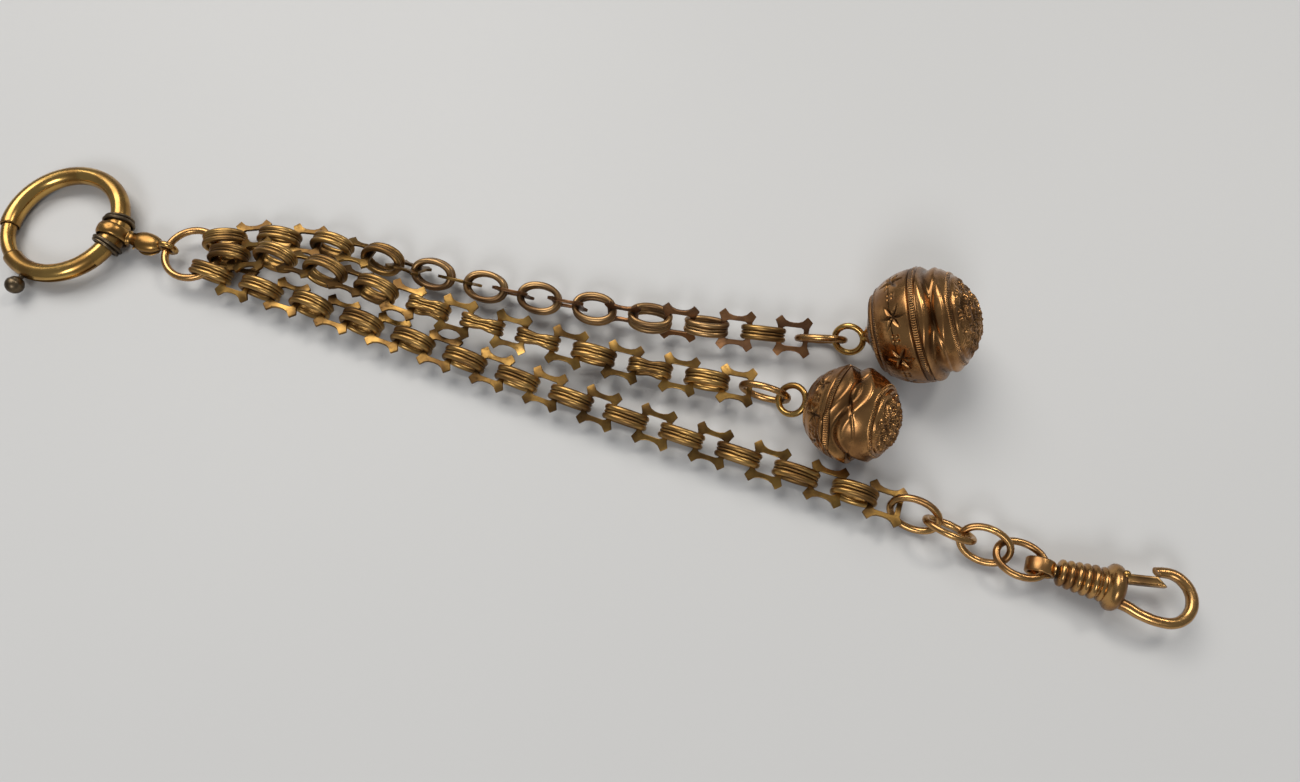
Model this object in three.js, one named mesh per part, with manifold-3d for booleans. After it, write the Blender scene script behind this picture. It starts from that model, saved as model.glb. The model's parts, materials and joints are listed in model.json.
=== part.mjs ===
// Three-strand gentleman's watch chain laid out flat: a bolt ring and shackle carry a jump ring, from which
// three strands of ribbed loops and pierced plates run to two hollow engraved balls and a swivel snap hook.
// Millimetres, +Z up. Angles are in degrees. The jump ring's centre is the layout's reference point.
import * as THREE from "three";
import { mergeVertices } from "three/addons/utils/BufferGeometryUtils.js";
import Module from "manifold-3d";

const wasm = await Module();
wasm.setup();

// ---- Shared clearances ----
const runningGap = 0.1; // between a turning piece and what it turns on
const slidingGap = 0.15; // between the spring bolt and the tube's bore
const slotGap = 0.1; // between the knob's stem and each side of its slot
const linkGap = 0.1231; // least gap of a ribbed loop on the edge of a plate's end bar
const linkSkew = 0.45; // how far off the loop's middle plane that edge can stand
const loopSidePlay = 0.25; // between a loop's side and the plate's hole
const wireLinkPlay = 0.6; // slack between two round-wire links
const solderDepth = 0.05; // how far soldered neighbours sink into each other
const tableGap = 0.02; // keeps the rims just off the table
const through = 1; // how far a cutter runs past what it cuts
const throughAngle = 3; // the same round the bolt ring

// ---- Bolt ring ----
const boltRing = {
  radius: 7.95, // to the middle of the tube
  tubeRadius: 1.25,
  tubeWall: 0.22,
  gapFrom: 180, // the tube's two mouths, as angles about the ring
  gapTo: 220,
  slotFrom: 238,
  slotTo: 312,
  tilt: 4, // the collar's thickness holds that side off the table
};
const bore = boltRing.tubeRadius - boltRing.tubeWall;
const springBolt = { radius: bore - slidingGap, overlap: 4, tail: 250, travel: 38 };
const thumbKnob = { radius: 1.2, stemRadius: 0.3, stemSet: 0.02, angle: 244, standOff: 0.25 };
const returnSpring = { wire: 0.11, inset: 0.41, turns: 9, endAngle: 314, endGap: 1.2 };
const collar = { halfAngle: 14, wall: 0.3, rimWire: 0.45, rimStandOff: 0.7 };
const rimRadius = boltRing.tubeRadius + collar.rimStandOff; // to the middle of the rim's wire

// ---- Shackle and jump ring ----
const shackle = {
  length: 7.9, // from the bolt ring's tube to the jump ring's wire
  bandWidth: 1.8,
  bandWall: 0.55,
  leafWidth: 2.9,
  leafHeight: 2.2,
  leafSink: 0.15, // into the band
  leafProfile: [
    [0, 0.32],
    [0.18, 0.62],
    [0.5, 1],
    [0.8, 0.72],
    [1, 0.34],
  ], // shares of its length and half width
  eyeRadius: 1.05, // to the middle of the eye's wire
  eyeWire: 0.42,
  eyeSink: 0.2, // into the leaf
  heading: 165, // as seen from the jump ring
};
const jumpRing = { radius: 3.7, wire: 0.5, height: 2.2 };

// ---- Strand links ----
const loop = { length: 6.0, height: 4.3, width: 2.0, wall: 0.55 };
const plate = {
  thickness: 0.4,
  holeLength: 2.8,
  holeWidth: loop.width + 2 * loopSidePlay,
  endBar: 0.65,
  waistBar: 0.65,
  earPeak: [0.35, 1.55], // beyond the hole's corner
  earTip: [1.1, 0.8], // beyond the hole's corner
};
const wireLink = { length: 7.0, height: 5.3, wire: 0.475 };

// ---- Engraved balls ----
const bigBall = { radius: 7.5, wall: 0.45, split: -2.4, heading: -1, eyeTwist: 20, linkHeading: -4 };
const smallBall = { radius: 6.2, wall: 0.4, split: -2.0, heading: -25, eyeTwist: 20, linkHeading: -18 };
const ballLinkRise = 0.03; // rise of the wire link before a ball, over its length
const ballEye = { radius: 1.85, wire: 0.45, sink: 0.3, stem: 0.75, stemDepth: 0.9 };
const ballSeam = 0.06; // gap left between the two shells

// ---- Swivel snap hook, measured along its own axis from the last wire link's end ----
const swivel = {
  heading: -17.5,
  axisHeight: 2.9,
  eyeHalfLength: 1.55, // to the middle of the eye's strap
  eyeHalfHeight: 1.3,
  eyeHalfWidth: 0.9,
  eyeHalfWall: 0.33,
  eyeSet: -0.7,
  neckRadius: 0.62,
  headRadius: 0.95,
  headLength: 0.5,
};
const barrel = {
  start: 1.3,
  ribs: 5,
  ribbedLength: 4.6,
  ribDepth: 0.3,
  ribFlat: [0.3, 0.7], // where a rib's crest starts and ends, as shares of its length
  startRadius: 1.65,
  endRadius: 2.2,
  collarLength: 3.0,
  collarRadius: 2.85,
  collarProfile: [
    [0, 0.72],
    [0.22, 0.95],
    [0.45, 1],
    [0.75, 0.94],
    [1, 0.72],
  ], // shares of its length and radius
  mouthWall: 0.9,
  chamberRadius: 1.2,
  chamberLength: 4.8,
};
const hook = {
  wire: 0.68,
  bowRadius: 3.0,
  bowAlong: 4.7,
  bowAcross: 0.5,
  bowAngles: [-90, 100],
  bowStep: 19,
  rootAcross: -1.7,
  rootDepth: 1.2,
  rootReach: 0.1, // straight beyond the collar
  legPoint: [0.5, 0.95], // shares of the way to the bow and of its radius
};
const gate = {
  thickness: 1.05,
  width: 1.1,
  pinRadius: 0.35,
  pinInset: 0.25, // of its ends from the collar's widest
  pinSet: 0.55,
  pinAcross: 1.3,
  tail: 0.75,
  tipShort: 0.45, // of the bow's middle
};
const gateSlot = { depth: 1.6, from: 0.2, to: 2.5 };
const gateSpring = { thickness: 0.14, width: 0.8, length: 1.1, set: 0.2, restGap: 0.03 };

// ---- How the strands lie: the places of their joints on the table, by hand ----
const strands = {
  a: {
    ringAngle: 32,
    ringPlay: 0.35, // slack of the first loop on the jump ring
    ringSkew: 0.6, // slope at which the ring's wire crosses the loop
    route: [
      [12, 2.6, 2.25],
      [22, 0.4, 2.3],
      [34, -3.6, 2.6],
      [52, -8.1, 2.9],
      [68, -11.0, 2.8],
      [88, -13.4, 2.3],
    ],
    twists: [1, -2, -20, -50, -64, -70, -74, -92, -124, -152, -158],
  },
  b: {
    ringAngle: -7,
    ringPlay: 0.22,
    ringSkew: 0,
    route: [
      [10.4, -1.2, 4.3],
      [20, -4.4, 5.0],
      [31, -8.6, 4.6],
      [42, -12.1, 4.4],
      [50, -14.2, 3.8],
      [60, -16.7, 2.7],
      [80, -20.8, 2.3],
    ],
    twists: [-2, -27, -24, -2, 14, 30, 10, 8, 10, 4],
  },
  c: {
    ringAngle: -47,
    ringPlay: 0.6,
    ringSkew: 0.7,
    route: [
      [16, -7.4, 2.25],
      [36, -14.9, 2.25],
      [56, -22.6, 2.25],
      [74, -29.0, 2.25],
      [98, -37.4, 2.25],
    ],
    twists: [10, -4, -6, -4, 2, 6, 10, 14, 16, 16, 14, 4, -4],
  },
};
const tailTwists = [-36, 34, -50, -97]; // the four round-wire links that end strand c
const tailHeadings = [-25, -25, -24, -22];

// ---- Joint ranges ----
const ranges = {
  shackle: [-90, 90],
  jumpRing: [-35, 35],
  firstLoop: [-25, 25],
  loop: [-38, 38],
  wireLink: [-40, 40],
  gate: [-28, 0],
};

/** Hinges that stop early as the strands lie, because what they carry meets the piece beside it. */
const heldHinges = {
  pair_a01_hinge: [-10, 3],
  pair_a02_hinge: [-38, 8],
  pair_a05_hinge: [-38, 1],
  pair_a06_hinge: [-1, 38],
  pair_a07_hinge: [-38, 1],
  pair_a08_hinge: [-1, 38],
  pair_a09_hinge: [-38, 1],
  pair_a10_hinge: [-3, 38],
  pair_a11_hinge: [-38, 11],
  wire_link_a_hinge: [-17, 40],
  big_ball_swing: [-40, 12],
  pair_b01_hinge: [-2, 1],
  pair_b02_hinge: [-1, 25],
  pair_b03_hinge: [-1, 0],
  pair_b04_hinge: [0, 38],
  pair_b05_hinge: [-38, 1],
  small_ball_swing: [-9, 6],
  pair_c01_hinge: [-1, 18],
  pair_c02_hinge: [-38, 1],
  pair_c03_hinge: [-1, 38],
  pair_c04_hinge: [-38, 1],
  pair_c05_hinge: [-1, 38],
  pair_c06_hinge: [-38, 1],
  wire_link_c4_hinge: [-25, 25],
};

const radians = (degrees) => THREE.MathUtils.degToRad(degrees);
const metal = (color, roughness) => new THREE.MeshStandardMaterial({ color, roughness, metalness: 1 });
const materials = {
  tube: metal(0xb98f45, 0.25),
  dark: metal(0x5a4a35, 0.5),
  wire: metal(0xb07c46, 0.3),
  loop: metal(0xa07c42, 0.35),
  ball: metal(0xa06f3a, 0.35),
  steel: metal(0x8a8378, 0.4),
};

// ---- Solids ----

/** A closed geometry as a manifold solid, from its positions alone. */
function solidOf(geometry) {
  const bare = geometry.clone();
  bare.deleteAttribute("normal");
  bare.deleteAttribute("uv");
  const merged = mergeVertices(bare, 1e-4);
  return new wasm.Manifold(
    new wasm.Mesh({
      numProp: 3,
      vertProperties: new Float32Array(merged.attributes.position.array),
      triVerts: new Uint32Array(merged.index.array),
    }),
  );
}

/** A manifold solid as a drawable geometry. */
function geometryOf(solid) {
  const mesh = solid.getMesh();
  const geometry = new THREE.BufferGeometry();
  geometry.setAttribute("position", new THREE.BufferAttribute(mesh.vertProperties, 3));
  geometry.setIndex(new THREE.BufferAttribute(mesh.triVerts, 1));
  geometry.computeVertexNormals();
  return geometry;
}

const join = (first, ...others) =>
  geometryOf(others.reduce((sum, next) => sum.add(solidOf(next)), solidOf(first)));
const cut = (first, ...others) =>
  geometryOf(others.reduce((rest, next) => rest.subtract(solidOf(next)), solidOf(first)));

/** A section with the given half sizes: a rectangle, or an ellipse of so many sides. */
function section(halfX, halfY, sides = 4) {
  const offset = sides === 4 ? Math.SQRT2 : 1;
  const points = [];
  for (let i = 0; i < sides; i++) {
    const angle = ((i + 0.5) / sides) * 2 * Math.PI;
    points.push(new THREE.Vector2(offset * halfX * Math.cos(angle), offset * halfY * Math.sin(angle)));
  }
  return new THREE.Shape(points);
}

/** A bar along an open curve. */
function sweep(curve, shape, steps) {
  return new THREE.ExtrudeGeometry(shape, { steps, extrudePath: curve, bevelEnabled: false });
}

/** A ring along a closed flat curve: the sweep without its two end caps. */
function ringSweep(curve, shape, steps) {
  const swept = sweep(curve, shape, steps);
  const sides = swept.groups[1];
  const positions = swept.attributes.position.array.slice(3 * sides.start, 3 * (sides.start + sides.count));
  const geometry = new THREE.BufferGeometry();
  geometry.setAttribute("position", new THREE.BufferAttribute(positions, 3));
  return mergeVertices(geometry, 1e-3);
}

/** A flat ellipse in the XY plane as a closed 3-D path. */
class OvalPath extends THREE.Curve {
  constructor(halfLength, halfHeight) {
    super();
    this.halfLength = halfLength;
    this.halfHeight = halfHeight;
  }
  getPoint(t, target = new THREE.Vector3()) {
    const angle = 2 * Math.PI * t;
    return target.set(this.halfLength * Math.cos(angle), this.halfHeight * Math.sin(angle), 0);
  }
}

/** An arc about +Z between two angles in degrees, with an optional coil wound round it. */
class ArcPath extends THREE.Curve {
  constructor(radius, from, to, coilRadius = 0, turns = 0) {
    super();
    Object.assign(this, { radius, from, to, coilRadius, turns });
  }
  getPoint(t, target = new THREE.Vector3()) {
    const angle = radians(this.from + (this.to - this.from) * t);
    const phase = 2 * Math.PI * this.turns * t;
    const reach = this.radius + this.coilRadius * Math.cos(phase);
    return target.set(reach * Math.cos(angle), reach * Math.sin(angle), this.coilRadius * Math.sin(phase));
  }
}

/** A turned solid about X from [along, radius] pairs that start and end on the axis or close on themselves. */
function turned(profile, segments) {
  const points = profile.map(([along, radius]) => new THREE.Vector2(radius, along));
  const outward = THREE.ShapeUtils.area(points) > 0 ? points : points.toReversed();
  return new THREE.LatheGeometry(outward, segments).rotateZ(-Math.PI / 2);
}

/** A cylinder along X between two places. */
function rod(from, to, radius, segments = 10) {
  return new THREE.CylinderGeometry(radius, radius, to - from, segments)
    .rotateZ(-Math.PI / 2)
    .translate((from + to) / 2, 0, 0);
}

// ---- Frames and joints ----

const chain = new THREE.Group();
const joints = [];
const up = new THREE.Vector3(0, 0, 1);

/** A group at a point whose X runs along a direction and whose Y is turned about it by a twist. */
function frameAt(point, direction, twist = 0) {
  const along = direction.clone().normalize();
  const left = new THREE.Vector3().crossVectors(up, along).normalize();
  const across = left.applyAxisAngle(along, radians(twist));
  const normal = new THREE.Vector3().crossVectors(along, across);
  const group = new THREE.Group();
  group.position.copy(point);
  group.quaternion.setFromRotationMatrix(new THREE.Matrix4().makeBasis(along, across, normal));
  group.updateMatrix();
  chain.add(group);
  return group;
}

/** A named piece in a frame. */
function piece(frame, name, geometry, material) {
  const mesh = new THREE.Mesh(geometry, material);
  mesh.name = name;
  frame.add(mesh);
  return mesh;
}

/** A joint stated in a frame's own place and axis. */
function pivot(name, parent, child, frame, place, axis, range) {
  const pos = new THREE.Vector3(...place).applyMatrix4(frame.matrix);
  const direction = new THREE.Vector3(...axis).applyQuaternion(frame.quaternion);
  joints.push({ name, parent, child, pos, axis: direction, range });
}

/** A hinge on the axis that the piece before offers. */
function hinge(name, child, before, range) {
  const axis = before.axis.clone().multiplyScalar(before.side);
  joints.push({ name, parent: before.body, child, pos: before.joint, axis, range: heldHinges[name] ?? range });
}

const placeIn = (frame, x, y = 0, z = 0) => new THREE.Vector3(x, y, z).applyMatrix4(frame.matrix);
const axisOf = (frame, x, y, z) => new THREE.Vector3(x, y, z).applyQuaternion(frame.quaternion);
const flatDirection = (degrees) => new THREE.Vector3(Math.cos(radians(degrees)), Math.sin(radians(degrees)), 0);

// ---- Bolt ring, collar, shackle and jump ring ----

const jumpCentre = new THREE.Vector3(0, 0, jumpRing.height);
const shackleWay = flatDirection(shackle.heading);
const eyePlace = shackleWay.clone().multiplyScalar(jumpRing.radius).add(jumpCentre);
const collarHeight = rimRadius + collar.rimWire + tableGap;
const tubePlace = eyePlace.clone().addScaledVector(shackleWay, shackle.length).setZ(collarHeight);

/** The bolt ring's frame: X points from its centre to the collar, tipped up at the collar's side. */
function boltRingFrame() {
  const toCollar = shackleWay.clone().negate();
  const rise = Math.tan(radians(boltRing.tilt));
  const tipped = new THREE.Vector3(toCollar.x, toCollar.y, rise).normalize();
  return frameAt(tubePlace.clone().addScaledVector(tipped, -boltRing.radius), tipped);
}

/** Angles on the bolt ring are given in the table's frame, so they are turned into the ring's own. */
const ringAngle = (angle) => angle - (shackle.heading + 180);

function boltTubeGeometry() {
  const { radius, tubeRadius } = boltRing;
  const [from, to] = [ringAngle(boltRing.gapTo), ringAngle(boltRing.gapFrom) + 360];
  const outer = sweep(new ArcPath(radius, from, to), section(tubeRadius, tubeRadius, 12), 28);
  const inner = sweep(new ArcPath(radius, from - throughAngle, to + throughAngle), section(bore, bore, 12), 28);
  const slotPath = new ArcPath(radius + tubeRadius, ringAngle(boltRing.slotFrom), ringAngle(boltRing.slotTo));
  const slotSection = section(thumbKnob.stemRadius + slotGap, 0.75 * tubeRadius);
  return cut(outer, inner, sweep(slotPath, slotSection, 10));
}

function springBoltGeometry() {
  const from = ringAngle(boltRing.gapFrom - springBolt.overlap);
  const to = ringAngle(springBolt.tail);
  return sweep(new ArcPath(boltRing.radius, from, to), section(springBolt.radius, springBolt.radius, 8), 12);
}

/** The ball knob on its stem, which passes out through the slot. */
function thumbKnobGeometry() {
  const stemFrom = boltRing.radius + springBolt.radius + thumbKnob.stemSet;
  const centre = boltRing.radius + boltRing.tubeRadius + thumbKnob.standOff + thumbKnob.radius;
  const ball = new THREE.SphereGeometry(thumbKnob.radius, 14, 10).translate(centre, 0, 0);
  return join(ball, rod(stemFrom, centre, thumbKnob.stemRadius)).rotateZ(radians(ringAngle(thumbKnob.angle)));
}

function returnSpringGeometry() {
  const from = ringAngle(springBolt.tail + returnSpring.endGap);
  const to = ringAngle(returnSpring.endAngle);
  const coil = new ArcPath(boltRing.radius, from, to, bore - returnSpring.inset, returnSpring.turns);
  return sweep(coil, section(returnSpring.wire, returnSpring.wire), returnSpring.turns * 8);
}

/** A short sleeve round the tube with a raised wire rim at each end. */
function collarGeometry() {
  const { halfAngle, wall, rimWire } = collar;
  const inside = boltRing.tubeRadius + runningGap;
  const arc = (grow) => new ArcPath(boltRing.radius, -halfAngle - grow, halfAngle + grow);
  const sleeve = sweep(arc(0), section(inside + wall, inside + wall, 14), 6);
  const rims = [-halfAngle, halfAngle].map((angle) =>
    new THREE.TorusGeometry(rimRadius, rimWire, 6, 16)
      .rotateX(Math.PI / 2)
      .translate(boltRing.radius, 0, 0)
      .rotateZ(radians(angle)),
  );
  return cut(join(sleeve, ...rims), sweep(arc(2 * throughAngle), section(inside, inside, 14), 8));
}

/** The shackle: a band that turns on the collar, a leaf-shaped body, and an eye round the jump ring. */
function shackleGeometry() {
  const { length, bandWidth, bandWall, leafWidth, leafHeight, leafProfile, eyeRadius, eyeWire } = shackle;
  const bandBore = boltRing.tubeRadius + runningGap + collar.wall + runningGap;
  const bandPath = new OvalPath(bandBore + bandWall / 2, bandBore + bandWall / 2);
  const band = ringSweep(bandPath, section(bandWidth / 2, bandWall / 2), 18).rotateX(Math.PI / 2);
  const leafFrom = bandBore + bandWall - shackle.leafSink;
  const leafTo = length - eyeRadius - eyeWire + shackle.eyeSink;
  const leafLength = leafTo - leafFrom;
  const leafSide = leafProfile.map(([share, size]) => [share * leafLength, size]);
  const leaf = turned([[0, 0], ...leafSide, [leafLength, 0]], 12)
    .scale(1, leafWidth / 2, leafHeight / 2)
    .translate(leafFrom, 0, 0);
  const eyePath = new OvalPath(eyeRadius, eyeRadius);
  const eye = ringSweep(eyePath, section(eyeWire, eyeWire, 6), 14).rotateX(Math.PI / 2).translate(length, 0, 0);
  return join(band, leaf, eye);
}

function buildRingEnd() {
  const ring = boltRingFrame();
  piece(ring, "bolt_ring_tube", boltTubeGeometry(), materials.tube);
  piece(ring, "collar", collarGeometry(), materials.dark);
  piece(ring, "spring_bolt", springBoltGeometry(), materials.tube);
  piece(ring, "thumb_knob", thumbKnobGeometry(), materials.dark);
  piece(ring, "return_spring", returnSpringGeometry(), materials.steel);
  pivot("bolt_slide", "bolt_ring", "spring_bolt", ring, [0, 0, 0], [0, 0, 1], [0, springBolt.travel]);

  const link = frameAt(tubePlace, eyePlace.clone().sub(tubePlace));
  piece(link, "shackle", shackleGeometry(), materials.tube);
  pivot("shackle_turn", "bolt_ring", "shackle", link, [0, 0, 0], [0, 1, 0], ranges.shackle);

  const jump = frameAt(jumpCentre, shackleWay);
  piece(jump, "jump_ring", new THREE.TorusGeometry(jumpRing.radius, jumpRing.wire, 8, 28), materials.wire);
  pivot("jump_ring_turn", "shackle", "jump_ring", jump, [jumpRing.radius, 0, 0], [0, 1, 0], ranges.jumpRing);
}

// ---- Strand links ----

const loopInner = loop.length / 2 - loop.wall; // half the length inside a ribbed loop
const loopEndRadius = (loop.height / 2 - loop.wall) ** 2 / loopInner; // of the curve inside its ends
const linkPlay = linkGap + linkSkew ** 2 / (2 * loopEndRadius); // slack on the middle of a plate's end bar
const barHalf = plate.endBar / 2;
const plateBarPlace = plate.holeLength / 2 + barHalf; // end bar's middle from the plate's middle
const loopHinge = -(loopInner - barHalf - linkPlay); // previous plate's bar, from the loop's middle
const ownBar = loopInner - barHalf + solderDepth; // the soldered plate's near bar, from the loop's middle
const nextHinge = ownBar + 2 * plateBarPlace;

/** A pierced plate, flat in XY: a frame with a waist and four pointed ears. */
function plateGeometry() {
  const [holeX, holeY] = [plate.holeLength / 2, plate.holeWidth / 2];
  const ears = [plate.earPeak, plate.earTip].map(([x, y]) => [holeX + x, holeY + y]);
  const quarter = [...ears, [plateBarPlace + barHalf, holeY]];
  const half = [[0, holeY + plate.waistBar], ...quarter, ...quarter.toReversed().map(([x, y]) => [x, -y])];
  const outline = [...half, ...half.map(([x, y]) => [-x, -y])].map(([x, y]) => new THREE.Vector2(x, y));
  const shape = new THREE.Shape(outline);
  shape.holes.push(section(holeX, holeY));
  return new THREE.ExtrudeGeometry(shape, { depth: plate.thickness, bevelEnabled: false }).translate(
    0,
    0,
    -plate.thickness / 2,
  );
}

/** A ribbed loop in the XZ plane with its band across Y. */
function loopGeometry() {
  const path = new OvalPath((loop.length - loop.wall) / 2, (loop.height - loop.wall) / 2);
  return ringSweep(path, section(loop.width / 2, loop.wall / 2), 14).rotateX(Math.PI / 2);
}

/** One repeat of a strand: a loop, turned about the strand by its lag, soldered to the plate after it. */
function pairGeometry(lag) {
  const pierced = plateGeometry().translate(ownBar + plateBarPlace, 0, 0);
  return join(loopGeometry().rotateX(radians(lag)), pierced);
}

/** The next joint along a route: where a link of this length meets it again, or straight on past its end. */
function stepAlong(curve, from, startAt, length) {
  if (curve.getPoint(1).distanceTo(from) < length) {
    const onward = curve.getTangent(1).setZ(0).normalize();
    return [from.clone().addScaledVector(onward, length), 1];
  }
  let [near, far] = [startAt, 1];
  for (let i = 0; i < 30; i++) {
    const middle = (near + far) / 2;
    if (curve.getPoint(middle).distanceTo(from) < length) near = middle;
    else far = middle;
  }
  return [curve.getPoint(near), near];
}

/** One strand from the jump ring. Returns the last pair's frame and body. */
function buildStrand(letter) {
  const { ringAngle: start, ringPlay, ringSkew, route, twists } = strands[letter];
  const slack = ringPlay + (ringSkew * loop.width) / 2;
  const firstHinge = -(loopInner - jumpRing.wire - slack); // jump ring's wire, from the first loop's middle
  let joint = flatDirection(start).multiplyScalar(jumpRing.radius).add(jumpCentre);
  const curve = new THREE.CatmullRomCurve3([joint, ...route.map((p) => new THREE.Vector3(...p))]);
  const ringTangent = flatDirection(start + 90);
  let parent = "jump_ring";
  let [axis, reach, range] = [ringTangent, 0, ranges.firstLoop];
  let frame = null;
  twists.forEach((twist, k) => {
    const behind = k === 0 ? firstHinge : loopHinge;
    const [next, at] = stepAlong(curve, joint, reach, nextHinge - behind);
    const way = next.clone().sub(joint);
    const name = `pair_${letter}${String(k + 1).padStart(2, "0")}`;
    const before = k === 0 ? twist : twists[k - 1];
    frame = frameAt(joint, way, twist);
    frame.position.addScaledVector(way.normalize(), -behind);
    frame.updateMatrix();
    piece(frame, name, pairGeometry((before - twist) / 2), materials.loop);
    hinge(`${name}_hinge`, name, { body: parent, joint, axis, side: k % 2 ? -1 : 1 }, range);
    [parent, joint, reach, axis, range] = [name, next, at, axisOf(frame, 0, 1, 0), ranges.loop];
  });
  return { frame, body: parent, joint, axis, side: twists.length % 2 ? -1 : 1 };
}

// ---- Round-wire links ----

const wireReach = wireLink.length / 2 - wireLink.wire; // wire's middle from the link's middle
const onBar = -(wireReach - wireLink.wire - barHalf - linkPlay);
const onWire = -(wireReach - 2 * wireLink.wire - wireLinkPlay);

function wireLinkGeometry() {
  const path = new OvalPath(wireReach, wireLink.height / 2 - wireLink.wire);
  return ringSweep(path, section(wireLink.wire, wireLink.wire, 8), 18).rotateX(Math.PI / 2);
}

/** A round-wire link hung on the last piece. Returns what the next piece hangs on. */
function buildWireLink(name, before, way, twist, start) {
  const frame = frameAt(before.joint, way, twist);
  frame.position.addScaledVector(way.clone().normalize(), -start);
  frame.updateMatrix();
  piece(frame, name, wireLinkGeometry(), materials.wire);
  hinge(`${name}_hinge`, name, before, ranges.wireLink);
  return {
    frame,
    body: name,
    joint: placeIn(frame, wireReach),
    axis: axisOf(frame, 0, 0, 1),
    side: -before.side,
  };
}

// ---- Engraved balls ----

/** Points on a circle about the X axis' origin, from one place along X to another. */
function arcPoints(radius, from, to, steps) {
  const [start, end] = [Math.acos(from / radius), Math.acos(to / radius)];
  return Array.from({ length: steps + 1 }, (_, i) => {
    const angle = start + ((end - start) * i) / steps;
    return [radius * Math.cos(angle), i === 0 && from === radius ? 0 : Math.max(radius * Math.sin(angle), 0)];
  });
}

/** The shell nearest the eye, with a hole for the eye's stem. */
function rearShellGeometry({ radius, wall, split }) {
  const inner = radius - wall;
  const hole = ballEye.stem + runningGap;
  const rim = (r) => -Math.sqrt(r * r - hole * hole);
  const wallPoints = [...arcPoints(radius, rim(radius), split, 5), ...arcPoints(inner, split, rim(inner), 5)];
  return turned([...wallPoints, wallPoints[0]], 20);
}

/** The domed shell, closed at its far pole. */
function domeShellGeometry({ radius, wall, split }) {
  const inner = radius - wall;
  const seam = split + ballSeam;
  return turned([...arcPoints(radius, radius, seam, 7), ...arcPoints(inner, inner, seam, 7).toReversed()], 20);
}

/** A ring eye on a stem that runs in through the rear shell. */
function ballEyeGeometry(ball, seat) {
  const path = new OvalPath(ballEye.radius, ballEye.radius);
  const ring = ringSweep(path, section(ballEye.wire, ballEye.wire, 6), 16).rotateX(radians(ball.eyeTwist));
  const stemEnd = -(ball.radius - ball.wall) + ballEye.stemDepth;
  return join(ring.translate(seat, 0, 0), rod(seat + ballEye.radius, stemEnd, ballEye.stem, 12));
}

/** A hollow ball in two shells, hung by its eye on a wire link's end and resting on the table. */
function buildBall(name, ball, before) {
  const seat = -(ball.radius - ballEye.sink + ballEye.radius + ballEye.wire);
  const hang = ballEye.radius - ballEye.wire - wireLink.wire - 2 * runningGap;
  const arm = hang - seat;
  const rise = ball.radius - before.joint.z;
  const way = flatDirection(ball.heading).multiplyScalar(Math.sqrt(arm * arm - rise * rise)).setZ(rise);
  const frame = frameAt(before.joint.clone().add(way), way);
  piece(frame, `${name}_eye`, ballEyeGeometry(ball, seat), materials.tube);
  piece(frame, `${name}_rear_shell`, rearShellGeometry(ball), materials.ball);
  piece(frame, `${name}_dome_shell`, domeShellGeometry(ball), materials.ball);
  hinge(`${name}_swing`, name, before, ranges.wireLink);
}

// ---- Swivel snap hook ----

const barrelEnd = barrel.start + barrel.ribbedLength + barrel.collarLength;

/** The swivel's strap eye, with a headed neck that the barrel turns on. */
function swivelEyeGeometry() {
  const path = new OvalPath(swivel.eyeHalfLength, swivel.eyeHalfHeight);
  const strap = section(swivel.eyeHalfWidth, swivel.eyeHalfWall);
  const eye = ringSweep(path, strap, 16).rotateX(Math.PI / 2).translate(swivel.eyeSet, 0, 0);
  const headFrom = barrel.start + barrel.mouthWall + runningGap;
  const neck = rod(swivel.eyeSet + swivel.eyeHalfLength, headFrom + 0.1, swivel.neckRadius);
  return join(eye, neck, rod(headFrom, headFrom + swivel.headLength, swivel.headRadius, 12));
}

/** The ribbed barrel and its collar, hollow behind the mouth that holds the neck's head. */
function barrelGeometry() {
  const { start, ribs, ribbedLength, ribDepth, ribFlat, startRadius, endRadius } = barrel;
  const { collarRadius, collarLength, collarProfile } = barrel;
  const mouth = swivel.neckRadius + runningGap;
  const chamberFrom = start + barrel.mouthWall;
  const chamberTo = chamberFrom + barrel.chamberLength;
  const profile = [
    [chamberTo, 0],
    [chamberTo, barrel.chamberRadius],
    [chamberFrom, barrel.chamberRadius],
    [chamberFrom, mouth],
    [start, mouth],
  ];
  const ribLength = ribbedLength / ribs;
  for (let i = 0; i < ribs; i++) {
    const crest = startRadius + ((endRadius - startRadius) * i) / (ribs - 1);
    const from = start + i * ribLength;
    profile.push([from, crest - ribDepth], ...ribFlat.map((share) => [from + share * ribLength, crest]));
  }
  const collarFrom = start + ribbedLength;
  for (const [share, size] of collarProfile) {
    profile.push([collarFrom + share * collarLength, size * collarRadius]);
  }
  profile.push([barrelEnd, 0]);
  const pocket = rod(barrelEnd - hook.rootDepth - runningGap, barrelEnd + through, hook.wire + runningGap / 2);
  const slotWidth = gateSlot.to - gateSlot.from;
  const slotHeight = gate.thickness + 2 * runningGap;
  const slot = new THREE.BoxGeometry(gateSlot.depth + through, slotWidth, slotHeight).translate(
    barrelEnd + (through - gateSlot.depth) / 2,
    (gateSlot.from + gateSlot.to) / 2,
    0,
  );
  const pinHole = rodUpright(gate.pinRadius + runningGap / 2, 2 * collarRadius + through).translate(
    barrelEnd - gate.pinSet,
    gate.pinAcross,
    0,
  );
  return cut(turned(profile, 20), pocket.translate(0, hook.rootAcross, 0), slot, pinHole);
}

/** A cylinder along Z, centred. */
function rodUpright(radius, height, segments = 10) {
  return new THREE.CylinderGeometry(radius, radius, height, segments).rotateX(Math.PI / 2);
}

const bowCentre = [barrelEnd + hook.bowAlong, hook.bowAcross];

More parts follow.
